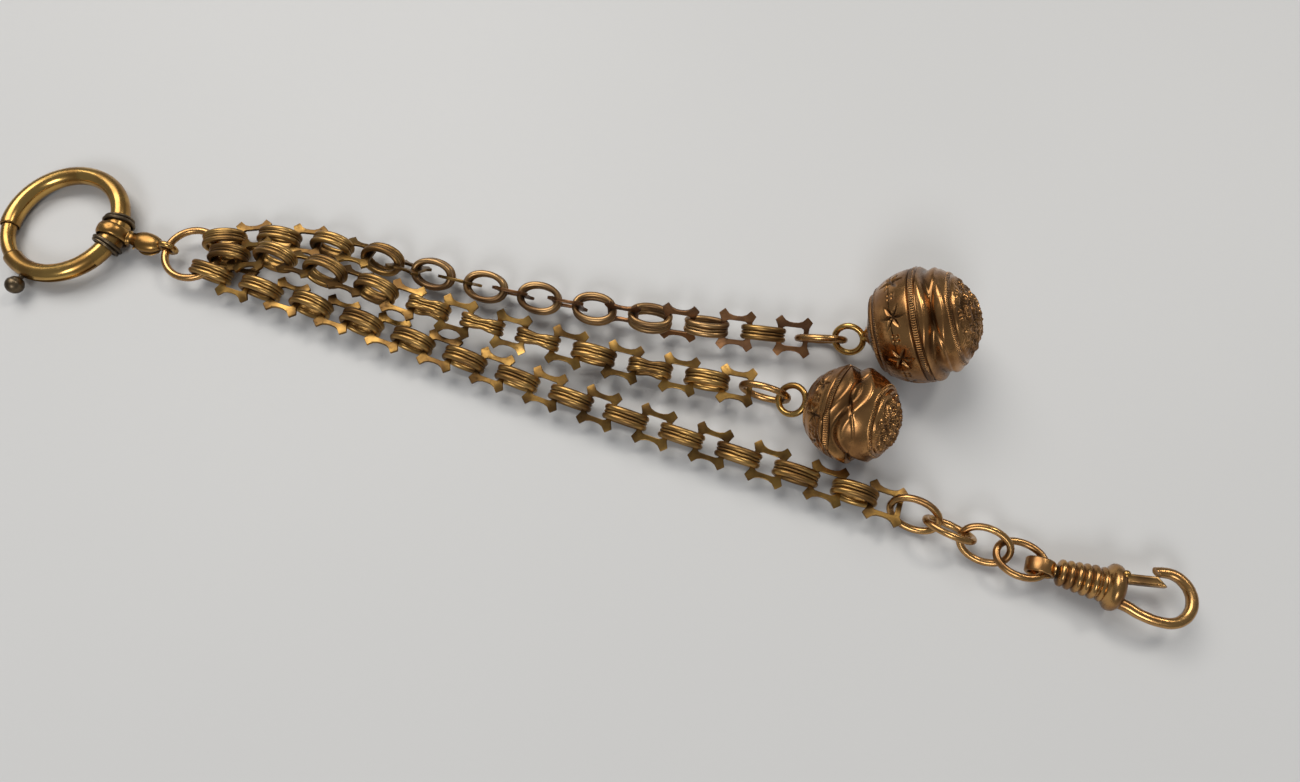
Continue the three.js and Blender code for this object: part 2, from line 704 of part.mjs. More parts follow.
/** The hook's wire: out of the collar, round the bow and back to its tip. */
function hookGeometry() {
  const [legAlong, legAcross] = hook.legPoint;
  const [bowFrom, bowTo] = hook.bowAngles;
  const points = [
    [barrelEnd - hook.rootDepth, hook.rootAcross],
    [barrelEnd + hook.rootReach, hook.rootAcross],
    [barrelEnd + legAlong * hook.bowAlong, bowCentre[1] - legAcross * hook.bowRadius],
  ];
  for (let angle = bowFrom; angle <= bowTo; angle += hook.bowStep) {
    points.push([
      bowCentre[0] + hook.bowRadius * Math.cos(radians(angle)),
      bowCentre[1] + hook.bowRadius * Math.sin(radians(angle)),
    ]);
  }
  const path = new THREE.CatmullRomCurve3(points.map(([x, y]) => new THREE.Vector3(x, y, 0)));
  return sweep(path, section(hook.wire, hook.wire, 8), 26);
}

/** The gate bar along X from its tail past the pin to its free end, before it is turned to the hook's tip. */
function gateGeometry(length) {
  const bar = new THREE.BoxGeometry(length + gate.tail, gate.width, gate.thickness);
  bar.translate((length - gate.tail) / 2, 0, 0);
  return cut(bar, rodUpright(gate.pinRadius + runningGap / 2, gate.thickness + through));
}

function buildSwivel(before) {
  const way = flatDirection(swivel.heading).multiplyScalar(barrelEnd).setZ(swivel.axisHeight - before.joint.z);
  const frame = frameAt(before.joint, way);
  piece(frame, "swivel_eye", swivelEyeGeometry(), materials.wire);
  hinge("swivel_eye_hinge", "swivel_eye", before, ranges.wireLink);
  piece(frame, "swivel_barrel", barrelGeometry(), materials.wire);
  piece(frame, "hook", hookGeometry(), materials.wire);
  pivot("swivel_turn", "swivel_eye", "swivel_barrel", frame, [barrel.start, 0, 0], [1, 0, 0], null);

  const pin = [barrelEnd - gate.pinSet, gate.pinAcross];
  const tip = [bowCentre[0] - gate.tipShort, bowCentre[1] + hook.bowRadius - hook.wire - runningGap];
  const lean = Math.atan2(tip[1] - gate.width / 2 - pin[1], tip[0] - pin[0]);
  const length = Math.hypot(tip[0] - pin[0], tip[1] - pin[1]);
  const pinGeometry = rodUpright(gate.pinRadius, 2 * (barrel.collarRadius - gate.pinInset));
  const pinMesh = piece(frame, "gate_pin", pinGeometry, materials.tube);
  pinMesh.position.set(pin[0], pin[1], 0);
  const gateMesh = piece(frame, "gate", gateGeometry(length), materials.dark);
  gateMesh.position.set(pin[0], pin[1], 0);
  gateMesh.rotation.z = lean;
  const leaf = new THREE.BoxGeometry(gateSpring.length, gateSpring.thickness, gateSpring.width);
  const leafMesh = piece(frame, "gate_spring", leaf, materials.steel);
  const rest = gateSlot.from + gateSpring.thickness / 2 + gateSpring.restGap;
  leafMesh.position.set(pin[0] - gateSpring.set, rest, 0);
  pivot("gate_hinge", "swivel_barrel", "gate", frame, [...pin, 0], [0, 0, 1], ranges.gate);
}

// ---- Assembly ----

/** The last wire link and ball of a strand, the link in line with the strand. */
function endWithBall(letter, name, ball) {
  const end = buildStrand(letter);
  const twist = strands[letter].twists.at(-1);
  const way = flatDirection(ball.linkHeading).setZ(ballLinkRise);
  buildBall(name, ball, buildWireLink(`wire_link_${letter}`, end, way, twist, onBar));
}

function endWithSwivel() {
  let before = buildStrand("c");
  tailTwists.forEach((twist, k) => {
    const start = k === 0 ? onBar : onWire;
    before = buildWireLink(`wire_link_c${k + 1}`, before, flatDirection(tailHeadings[k]), twist, start);
  });
  buildSwivel(before);
}

/** Moves everything so that the middle of its footprint is the origin and it stands on z = 0. */
function standOnOrigin() {
  chain.updateMatrixWorld(true);
  const box = new THREE.Box3().setFromObject(chain, true);
  const middle = box.getCenter(new THREE.Vector3()).setZ(box.min.z);
  chain.children.forEach((group) => group.position.sub(middle));
  joints.forEach((joint) => {
    joint.pos = joint.pos.clone().sub(middle);
  });
}

buildRingEnd();
endWithBall("a", "big_ball", bigBall);
endWithBall("b", "small_ball", smallBall);
endWithSwivel();
standOnOrigin();
chain.userData.joints = joints;

export default chain;
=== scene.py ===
"""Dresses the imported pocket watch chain: every link, ring, ball and the swivel hook in worn rolled gold."""

import json
import logging
import math
from collections.abc import Iterator, Sequence
from contextlib import contextmanager
from dataclasses import dataclass, field
from enum import Enum

import bpy
import numpy as np
from mathutils import Matrix, Vector

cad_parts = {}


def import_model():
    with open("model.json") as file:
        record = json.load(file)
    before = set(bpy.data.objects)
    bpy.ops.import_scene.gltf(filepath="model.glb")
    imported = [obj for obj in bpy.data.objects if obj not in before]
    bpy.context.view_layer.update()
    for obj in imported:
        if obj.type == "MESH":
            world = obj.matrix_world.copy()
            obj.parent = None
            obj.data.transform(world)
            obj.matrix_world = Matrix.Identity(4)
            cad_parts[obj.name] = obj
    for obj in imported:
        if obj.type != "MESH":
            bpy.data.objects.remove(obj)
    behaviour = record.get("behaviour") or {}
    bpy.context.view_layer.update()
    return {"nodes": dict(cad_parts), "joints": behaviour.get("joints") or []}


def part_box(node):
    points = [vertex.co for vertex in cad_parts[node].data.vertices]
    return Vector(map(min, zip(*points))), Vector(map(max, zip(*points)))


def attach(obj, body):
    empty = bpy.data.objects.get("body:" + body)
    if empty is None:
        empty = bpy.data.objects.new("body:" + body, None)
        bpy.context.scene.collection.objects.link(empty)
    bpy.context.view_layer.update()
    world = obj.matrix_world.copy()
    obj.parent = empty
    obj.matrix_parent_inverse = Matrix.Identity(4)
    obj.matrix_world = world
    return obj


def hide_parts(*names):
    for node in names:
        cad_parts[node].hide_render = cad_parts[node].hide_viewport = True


LOG = logging.getLogger("watch_chain")
MM = 0.001
Point = tuple[float, float]
Colour = tuple[float, float, float]


# ---- Finishes ----


class Slot(Enum):
    """The record's material slots."""

    YELLOW = "yellow_gold"
    DARK = "dark_gilt"
    ROSY = "rosy_gold"
    LINK = "link_gilt"
    ENGRAVED = "engraved_gilt"
    STEEL = "spring_steel"


class NodeSheet:
    """A material's node tree with short ways to add and link nodes."""

    def __init__(self, name: str) -> None:
        """Starts an empty material.

        Args:
            name: the material's name.
        """
        self.material = bpy.data.materials.new(name)
        self.material.use_nodes = True
        self.tree = self.material.node_tree
        self.tree.nodes.clear()
        self.output = self.tree.nodes.new("ShaderNodeOutputMaterial")

    def add(self, kind: str, **settings: object) -> bpy.types.Node:
        """Adds a node.

        Args:
            kind: the node's Blender type.
            settings: its own properties.

        Returns:
            The node.
        """
        node = self.tree.nodes.new(kind)
        for key, value in settings.items():
            setattr(node, key, value)
        return node

    def put(self, socket: bpy.types.NodeSocket, value: object) -> None:
        """Links an output to a socket, or sets a constant on it.

        Args:
            socket: the input.
            value: an output, a colour or a number.
        """
        if isinstance(value, bpy.types.NodeSocket):
            self.tree.links.new(value, socket)
        elif isinstance(value, tuple):
            socket.default_value = (*value, 1.0)[: len(socket.default_value)]
        else:
            socket.default_value = value

    def math(self, operation: str, *values: object) -> bpy.types.NodeSocket:
        """A math node.

        Args:
            operation: what it works out.
            values: one to three numbers or outputs.

        Returns:
            Its result.
        """
        node = self.add("ShaderNodeMath", operation=operation)
        for socket, value in zip(node.inputs, values):
            self.put(socket, value)
        return node.outputs[0]

    def mix(self, share: object, first: object, second: object) -> bpy.types.NodeSocket:
        """A colour between two.

        Args:
            share: how much of the second there is.
            first: the first colour.
            second: the second colour.

        Returns:
            The mixed colour.
        """
        node = self.add("ShaderNodeMix", data_type="RGBA")
        for index, value in ((0, share), (6, first), (7, second)):
            self.put(node.inputs[index], value)
        return node.outputs[2]

    def noise(
        self, scale: float, detail: float = 3.0, stretch: Colour = (1, 1, 1)
    ) -> bpy.types.NodeSocket:
        """Noise over the object's own coordinates.

        Args:
            scale: features per metre.
            detail: octaves.
            stretch: scale along each axis.

        Returns:
            The noise's value.
        """
        coords = self.add("ShaderNodeTexCoord").outputs["Object"]
        mapping = self.add("ShaderNodeMapping")
        self.put(mapping.inputs["Vector"], coords)
        mapping.inputs["Scale"].default_value = stretch
        node = self.add("ShaderNodeTexNoise")
        self.put(node.inputs["Vector"], mapping.outputs[0])
        self.put(node.inputs["Scale"], scale)
        self.put(node.inputs["Detail"], detail)
        return node.outputs["Fac"]

    def between(self, value: object, low: float, high: float) -> bpy.types.NodeSocket:
        """A smooth 0 to 1.

        Args:
            value: what it follows.
            low: the value at 0.
            high: the value at 1.

        Returns:
            The smooth share.
        """
        node = self.add("ShaderNodeMapRange", interpolation_type="SMOOTHSTEP")
        self.put(node.inputs["Value"], value)
        self.put(node.inputs["From Min"], low)
        self.put(node.inputs["From Max"], high)
        return node.outputs["Result"]

    def bump(self, height: object, depth: float, normal: object = None) -> bpy.types.NodeSocket:
        """A bump over an earlier normal.

        Args:
            height: its height from 0 to 1.
            depth: what a height of 1 stands for, in metres.
            normal: the normal so far.

        Returns:
            The new normal.
        """
        node = self.add("ShaderNodeBump")
        self.put(node.inputs["Height"], height)
        self.put(node.inputs["Distance"], depth)
        if normal is not None:
            self.put(node.inputs["Normal"], normal)
        return node.outputs["Normal"]

    def surface(
        self, color: object, metallic: object, roughness: object, normal: object
    ) -> bpy.types.Material:
        """Ends the tree in a principled surface.

        Args:
            color: its base colour.
            metallic: 1 for metal.
            roughness: how matt it is.
            normal: its normal.

        Returns:
            The material.
        """
        shader = self.add("ShaderNodeBsdfPrincipled")
        for name, value in (("Base Color", color), ("Metallic", metallic), ("Roughness", roughness)):
            self.put(shader.inputs[name], value)
        self.put(shader.inputs["Normal"], normal)
        self.tree.links.new(shader.outputs[0], self.output.inputs["Surface"])
        return self.material


@dataclass(frozen=True)
class Gilt:
    """Worn rolled gold: bright on the crowns, brown where it is handled less, and dark in the hollows from
    tarnishing and from painted shade.
    """

    slot: Slot
    name: str
    light: Colour
    deep: Colour
    # near-black colour for tarnished specks and patina, and also for the painted shade in hollows
    tarnish_and_shade: Colour
    worn: float = 0.5  # noise level above which the deep tone shows
    roughness: float = 0.26
    shade_reach: float = 0.0007  # how far the painted shade and the tarnishing reach out of a hollow, as an ambient occlusion distance
    dents: float = 1.0  # how uneven the surface is
    knurl: int = 0  # notches round a turned piece, from its UV map and its "knurl" attribute
    grain: float = 1.0  # how finely broken the tones are

    def material(self) -> bpy.types.Material:
        """The finish as a node material, made once.

        Returns:
            The material.
        """
        made = bpy.data.materials.get(self.name)
        if made is not None:
            return made
        sheet = NodeSheet(self.name)
        blend = 0.14  # half the noise range over which the light tone turns into the deep one
        patches = sheet.between(sheet.noise(260.0, 4.0 * self.grain), self.worn - blend, self.worn + blend)
        speckle = sheet.math("MULTIPLY", sheet.between(sheet.noise(1900.0, 5.0), 0.56, 0.74), self.grain)
        # ambient occlusion paints near-black shade, together with tarnishing, into hollows, between touching
        # parts and where a piece lies on the table; it also raises roughness and lowers metallic there
        occlusion = sheet.add("ShaderNodeAmbientOcclusion", samples=8)
        sheet.put(occlusion.inputs["Distance"], self.shade_reach)
        occluded_shade_and_tarnish = sheet.between(occlusion.outputs["AO"], 0.78, 0.25)
        color = sheet.mix(patches, self.light, self.deep)
        color = sheet.mix(sheet.math("MULTIPLY", speckle, 0.25), color, self.tarnish_and_shade)
        # painted shade and tarnishing from the occlusion mask, in the dark third colour
        color = sheet.mix(sheet.math("MULTIPLY", occluded_shade_and_tarnish, 0.9), color, self.tarnish_and_shade)
        scratch = sheet.noise(900.0, 2.0, (1.0, 3.0, 1.0))
        normal = sheet.bump(sheet.noise(5200.0, 3.0), 0.00001 * self.dents)
        normal = sheet.bump(scratch, 0.000008 * self.dents, normal)
        normal = sheet.bump(sheet.noise(420.0, 2.0), 0.00006 * self.dents, normal)
        if self.knurl:
            normal, color = self._knurled(sheet, normal, color)
        rough = sheet.math("MULTIPLY_ADD", patches, 0.1, self.roughness)
        rough = sheet.math("MULTIPLY_ADD", sheet.math("MAXIMUM", occluded_shade_and_tarnish, speckle), 0.22, rough)
        metallic = sheet.math("MULTIPLY_ADD", occluded_shade_and_tarnish, -0.35, 1.0)
        return sheet.surface(color, metallic, rough, normal)

    def _knurled(
        self, sheet: NodeSheet, normal: bpy.types.NodeSocket, color: bpy.types.NodeSocket
    ) -> tuple[bpy.types.NodeSocket, bpy.types.NodeSocket]:
        """Adds fine notches where the mesh's knurl attribute is set.

        Args:
            sheet: the tree.
            normal: the normal so far.
            color: the colour so far.

        Returns:
            The new normal and colour.
        """
        around = sheet.add("ShaderNodeSeparateXYZ")
        sheet.put(around.inputs[0], sheet.add("ShaderNodeUVMap").outputs["UV"])
        wave = sheet.math("SINE", sheet.math("MULTIPLY", around.outputs[0], 2 * math.pi * self.knurl))
        mask = sheet.add("ShaderNodeAttribute", attribute_name="knurl").outputs["Fac"]
        height = sheet.math("MULTIPLY", wave, mask)
        notch = sheet.math("MULTIPLY", sheet.between(wave, 0.1, -0.8), mask)
        patina = sheet.add("ShaderNodeAttribute", attribute_name="patina").outputs["Fac"]
        dirt = sheet.math(
            "MAXIMUM", sheet.math("MULTIPLY", notch, 0.8), sheet.math("MULTIPLY", patina, 0.88)
        )
        return sheet.bump(height, 0.00007, normal), sheet.mix(dirt, color, self.tarnish_and_shade)


# each finish's third colour serves for tarnishing and also for the painted shade in hollows
YELLOW = Gilt(
    Slot.YELLOW, "worn_yellow",
    light=(0.55, 0.335, 0.10), deep=(0.32, 0.175, 0.05), tarnish_and_shade=(0.05, 0.026, 0.008),
    worn=0.52, roughness=0.19, dents=0.1, grain=0.3,
)
SHACKLE = Gilt(
    Slot.YELLOW, "worn_shackle",
    light=(0.50, 0.29, 0.09), deep=(0.27, 0.14, 0.04), tarnish_and_shade=(0.04, 0.02, 0.008), roughness=0.2, dents=0.5,
)
PEWTER = Gilt(
    Slot.DARK, "worn_pewter",
    light=(0.19, 0.14, 0.085), deep=(0.085, 0.06, 0.036), tarnish_and_shade=(0.02, 0.014, 0.009), roughness=0.32,
)
ROSY = Gilt(
    Slot.ROSY, "worn_rosy",
    light=(0.50, 0.28, 0.10), deep=(0.27, 0.135, 0.05), tarnish_and_shade=(0.04, 0.02, 0.009),
    worn=0.52, roughness=0.22, dents=0.5,
)
LINK = Gilt(
    Slot.LINK, "worn_link",
    light=(0.43, 0.25, 0.08), deep=(0.18, 0.095, 0.032), tarnish_and_shade=(0.018, 0.01, 0.005),
    worn=0.54, roughness=0.31, dents=0.04, grain=0.1,
)
BROWN_LINK = Gilt(
    Slot.LINK, "worn_brown_link",
    light=(0.38, 0.225, 0.095), deep=(0.18, 0.10, 0.045), tarnish_and_shade=(0.025, 0.014, 0.008),
    worn=0.52, roughness=0.33, dents=0.06, grain=0.1,
)
PLATE = Gilt(
    Slot.LINK, "worn_plate",
    light=(0.33, 0.19, 0.052), deep=(0.10, 0.053, 0.018), tarnish_and_shade=(0.02, 0.011, 0.005),
    worn=0.49, roughness=0.28, shade_reach=0.0009, dents=0.4,
)
RED_PLATE = Gilt(
    Slot.LINK, "worn_red_plate",
    light=(0.25, 0.12, 0.05), deep=(0.11, 0.055, 0.028), tarnish_and_shade=(0.025, 0.014, 0.008), roughness=0.34,
)
BALL = Gilt(
    Slot.ENGRAVED, "worn_engraved",
    light=(0.46, 0.235, 0.085), deep=(0.24, 0.115, 0.042), tarnish_and_shade=(0.025, 0.011, 0.005),
    roughness=0.2, shade_reach=0.0008, dents=0.35, knurl=150,
)
GATE = Gilt(
    Slot.DARK, "worn_gate",
    light=(0.38, 0.22, 0.08), deep=(0.14, 0.075, 0.03), tarnish_and_shade=(0.03, 0.016, 0.008),
    shade_reach=0.0009, dents=0.5,
)
STEEL = Gilt(
    Slot.STEEL, "worn_spring",
    light=(0.40, 0.35, 0.28), deep=(0.24, 0.20, 0.15), tarnish_and_shade=(0.05, 0.04, 0.03), roughness=0.35,
)


# ---- Modelling by hand ----


def clear_selection() -> None:
    """Deselects every object."""
    bpy.ops.object.select_all(action="DESELECT")


def take(piece: bpy.types.Object) -> None:
    """Selects one object and no other, and makes it active.

    Args:
        piece: the object.
    """
    clear_selection()
    piece.select_set(True)
    bpy.context.view_layer.objects.active = piece


def active() -> bpy.types.Object:
    """The object that the last operator left active."""
    return bpy.context.view_layer.objects.active


@contextmanager
def editing(piece: bpy.types.Object) -> Iterator[None]:
    """Edit mode on one piece, with nothing in it selected at the start.

    Args:
        piece: the piece.

    Yields:
        Nothing; edit mode ends after the block.
    """
    take(piece)
    bpy.ops.object.mode_set(mode="EDIT")
    bpy.ops.mesh.select_mode(type="VERT")
    bpy.ops.mesh.select_all(action="DESELECT")
    yield
    bpy.ops.object.mode_set(mode="OBJECT")


def select_faces(piece: bpy.types.Object, chosen: Sequence[bool] | np.ndarray) -> None:
    """Selects some faces of a piece in edit mode.

    Args:
        piece: the piece.
        chosen: True for each face to select.
    """
    bpy.ops.object.mode_set(mode="OBJECT")
    piece.data.polygons.foreach_set("select", np.asarray(chosen, bool))
    bpy.ops.object.mode_set(mode="EDIT")


def face_centres(piece: bpy.types.Object) -> np.ndarray:
    """Where a piece's faces are.

    Args:
        piece: the piece.

    Returns:
        The middle of each face, one row each.
    """
    centres = np.zeros(3 * len(piece.data.polygons), np.float32)
    piece.data.polygons.foreach_get("center", centres)
    return centres.reshape(-1, 3)


def vertices_of(piece: bpy.types.Object) -> np.ndarray:
    """Where a piece's vertices are.

    Args:
        piece: the piece.

    Returns:
        The vertices, one row each.
    """
    places = np.zeros(3 * len(piece.data.vertices), np.float32)
    piece.data.vertices.foreach_get("co", places)
    return places.reshape(-1, 3)


def set_vertices(piece: bpy.types.Object, places: np.ndarray) -> None:
    """Moves the piece's vertices to those places."""
    piece.data.vertices.foreach_set("co", places.astype(np.float32).ravel())
    piece.data.update()


def apply_modifier(piece: bpy.types.Object, kind: str, **settings: object) -> None:
    """Adds a modifier and applies it.

    Args:
        piece: the piece.
        kind: the modifier's Blender type.
        settings: its own properties.
    """
    take(piece)
    modifier = piece.modifiers.new(kind.lower(), kind)
    for key, value in settings.items():
        setattr(modifier, key, value)
    bpy.ops.object.modifier_apply(modifier=modifier.name)


def smooth(piece: bpy.types.Object, degrees: float = 40.0) -> None:
    """Smooth shading, with an edge wherever faces meet at more than that angle."""
    take(piece)
    bpy.ops.object.shade_smooth_by_angle(angle=math.radians(degrees))


def joined(pieces: Sequence[bpy.types.Object]) -> bpy.types.Object:
    """Several meshes as one.

    Args:
        pieces: the meshes; the first takes up the rest.

    Returns:
        The first.
    """
    clear_selection()
    for piece in pieces:
        piece.select_set(True)
    bpy.context.view_layer.objects.active = pieces[0]
    bpy.ops.object.join()
    return pieces[0]


def as_mesh(curve: bpy.types.Object) -> bpy.types.Object:
    """A curve made into a mesh, its size applied and its surface closed and facing out.

    Args:
        curve: the curve.

    Returns:
        The mesh.
    """
    take(curve)
    bpy.ops.object.convert(target="MESH")
    bpy.ops.object.transform_apply(location=True, rotation=True, scale=True)
    piece = active()
    close_up(piece)
    return piece


def close_up(piece: bpy.types.Object) -> None:
    """Merges doubled vertices and turns every face outward.

    Args:
        piece: the piece.
    """
    with editing(piece):
        bpy.ops.mesh.select_all(action="SELECT")
        bpy.ops.mesh.remove_doubles(threshold=0.002 * MM)
        bpy.ops.mesh.normals_make_consistent(inside=False)


def turned(profile: Sequence[Point], steps: int = 48) -> bpy.types.Object:
    """A piece turned about X, drawn point by point and spun.

    Args:
        profile: (along, radius) in millimetres; it starts and ends on the axis or closes on itself.
        steps: how many steps the spin takes.

    Returns:
        The closed piece.
    """
    bpy.ops.mesh.primitive_circle_add(vertices=3, radius=0.01 * MM)
    piece = active()
    with editing(piece):
        bpy.ops.mesh.select_all(action="SELECT")
        bpy.ops.mesh.merge(type="CENTER")
        last = (0.0, 0.0)
        for index, (along, radius) in enumerate(profile):
            step = ((along - last[0]) * MM, 0.0, (radius - last[1]) * MM)
            if index == 0:
                bpy.ops.transform.translate(value=step)
            else:
                bpy.ops.mesh.extrude_region_move(TRANSFORM_OT_translate={"value": step})
            last = (along, radius)
        bpy.ops.mesh.select_all(action="SELECT")
        bpy.ops.mesh.spin(steps=steps, angle=2 * math.pi, center=(0, 0, 0), axis=(1, 0, 0))
    close_up(piece)
    return piece


def rounded(profile: Sequence[Point], cuts: int = 4) -> list[Point]:
    """A smooth curve through the points of a profile.

    Args:
        profile: the points.
        cuts: how many steps there are from one point to the next.

    Returns:
        The curve's points.
    """
    points = np.array([profile[0], *profile, profile[-1]], float)
    smooth_points: list[Point] = []
    for i in range(1, len(points) - 2):
        a, b, c, d = points[i - 1 : i + 3]
        for step in range(cuts):
            t = step / cuts
            square, cube = (2 * a - 5 * b + 4 * c - d) * t**2, (3 * b - a - 3 * c + d) * t**3
            value = 0.5 * ((2 * b) + (c - a) * t + square + cube)
            smooth_points.append((float(value[0]), max(float(value[1]), 0.0)))
    smooth_points.append(tuple(profile[-1]))
    return smooth_points


def oval(
    half_length: float, half_height: float, wire: float, place: float = 0.0, width: float = 0.0
) -> bpy.types.Object:
    """A closed oval of wire in the XY plane, in millimetres.

    Args:
        half_length: to the middle of the wire along X.
        half_height: to the middle of the wire along Y.
        wire: the wire's radius.
        place: where it stands along Z.
        width: half the width that a flat band adds along Z.

    Returns:
        The ring.
    """
    bpy.ops.curve.primitive_bezier_circle_add(radius=MM, location=(0, 0, place * MM))
    curve = active()
    for point in curve.data.splines[0].bezier_points:
        for occluded_shade_and_tarnish in (point.co, point.handle_left, point.handle_right):
            occluded_shade_and_tarnish.x *= half_length
            occluded_shade_and_tarnish.y *= half_height
    curve.data.dimensions = "3D"
    curve.data.resolution_u = 14
    curve.data.bevel_depth = wire * MM
    curve.data.bevel_resolution = 2 if width else 4
    curve.data.extrude = width * MM
    return as_mesh(curve)


def wire_along(points: Sequence[Sequence[float]], radii: Sequence[float]) -> bpy.types.Object:
    """A round wire with capped ends along a smooth path.

    Args:
        points: places in millimetres.
        radii: the wire's radius at each of them, in millimetres.

    Returns:
        The wire.
    """
    bpy.ops.curve.primitive_bezier_curve_add(radius=MM, enter_editmode=True)
    bpy.ops.curve.select_all(action="SELECT")
    bpy.ops.curve.subdivide(number_cuts=len(points) - 2)
    bpy.ops.object.mode_set(mode="OBJECT")
    curve = active()
    curve.data.dimensions = "3D"
    for knot, place, radius in zip(curve.data.splines[0].bezier_points, points, radii):
        knot.co = Vector((*place, 0.0)[:3]) * MM
        knot.radius = radius
        knot.handle_left_type = knot.handle_right_type = "AUTO"
    curve.data.bevel_depth = MM
    curve.data.bevel_resolution = 5
    curve.data.resolution_u = 8
    curve.data.use_fill_caps = True
    return as_mesh(curve)


def arc_tube(
    ring: float, tube: float, start: float, end: float, steps: int, sides: int = 32
) -> bpy.types.Object:
    """A tube bent about Z, spun from a circle, its ends open.

    Args:
        ring: radius to the middle of the tube in millimetres.
        tube: the tube's radius.
        start: first angle in degrees.
        end: last angle.
        steps: steps of the spin.
        sides: sides of the tube.

    Returns:
        The tube.
    """
    bpy.ops.mesh.primitive_circle_add(
        vertices=sides, radius=tube * MM, location=(ring * MM, 0, 0), rotation=(math.pi / 2, 0, 0)
    )
    piece = active()
    bpy.ops.object.transform_apply(location=True, rotation=True, scale=True)
    piece.data.transform(Matrix.Rotation(math.radians(start), 4, "Z"))
    with editing(piece):
        bpy.ops.mesh.select_all(action="SELECT")
        bpy.ops.mesh.spin(steps=steps, angle=math.radians(end - start), center=(0, 0, 0), axis=(0, 0, -1))
    return piece


def capped(piece: bpy.types.Object) -> bpy.types.Object:
    """A tube with its two open ends closed.

    Args:
        piece: the tube.

    Returns:
        The rod that it becomes.
    """
    with editing(piece):
        bpy.ops.mesh.select_mode(type="EDGE")
        bpy.ops.mesh.select_non_manifold()
        bpy.ops.mesh.edge_face_add()
    close_up(piece)
    smooth(piece)
    return piece


def basis(origin: Vector, along: Vector, across: Vector) -> Matrix:
    """The place of a piece whose X runs along and whose Y runs as near across as it can.

    Args:
        origin: where the piece's own origin goes.
        along: which way its X points.
        across: roughly which way its Y points.

    Returns:
        The place.
    """
    x = along.normalized()
    z = x.cross(across).normalized()
    y = z.cross(x)
    return Matrix.Translation(origin) @ Matrix((x, y, z)).transposed().to_4x4()


def copy_of(piece: bpy.types.Object) -> bpy.types.Object:
    """A copy with a mesh of its own.

    Args:
        piece: the piece.

    Returns:
        The copy.
    """
    made = piece.copy()
    made.data = piece.data.copy()
    bpy.context.scene.collection.objects.link(made)
    return made


def settle(
    piece: bpy.types.Object, name: str, place: Matrix, finish: Gilt, body: str, *nodes: str
) -> bpy.types.Object:
    """Puts a finished piece in its place, dresses it and ties it to its CAD body.

    Args:
        piece: the piece in its own frame.
        name: its name.
        place: where that frame is.
        finish: what it is made of.
        body: the CAD body that it rides on.
        nodes: the CAD nodes it stands for.

    Returns:
        The piece.
    """
    piece.name = name
    piece.data.name = name
    piece.data.transform(place)
    piece.data.materials.clear()
    piece.data.materials.append(finish.material())
    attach(piece, body)
    if nodes:
        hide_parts(*nodes)
    LOG.info("%s: %d faces on %s", name, len(piece.data.polygons), body)
    return piece


@dataclass(frozen=True)
class Hinges:
    """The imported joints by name."""

    joints: dict[str, dict]

    def at(self, name: str) -> Vector:
        """Where a joint is."""
        return Vector(self.joints[name]["pos_m"])

    def axis(self, name: str) -> Vector:
        """Which way a joint's axis points."""
        return Vector(self.joints[name]["axis"])


# ---- Bolt ring, collar, shackle and jump ring ----


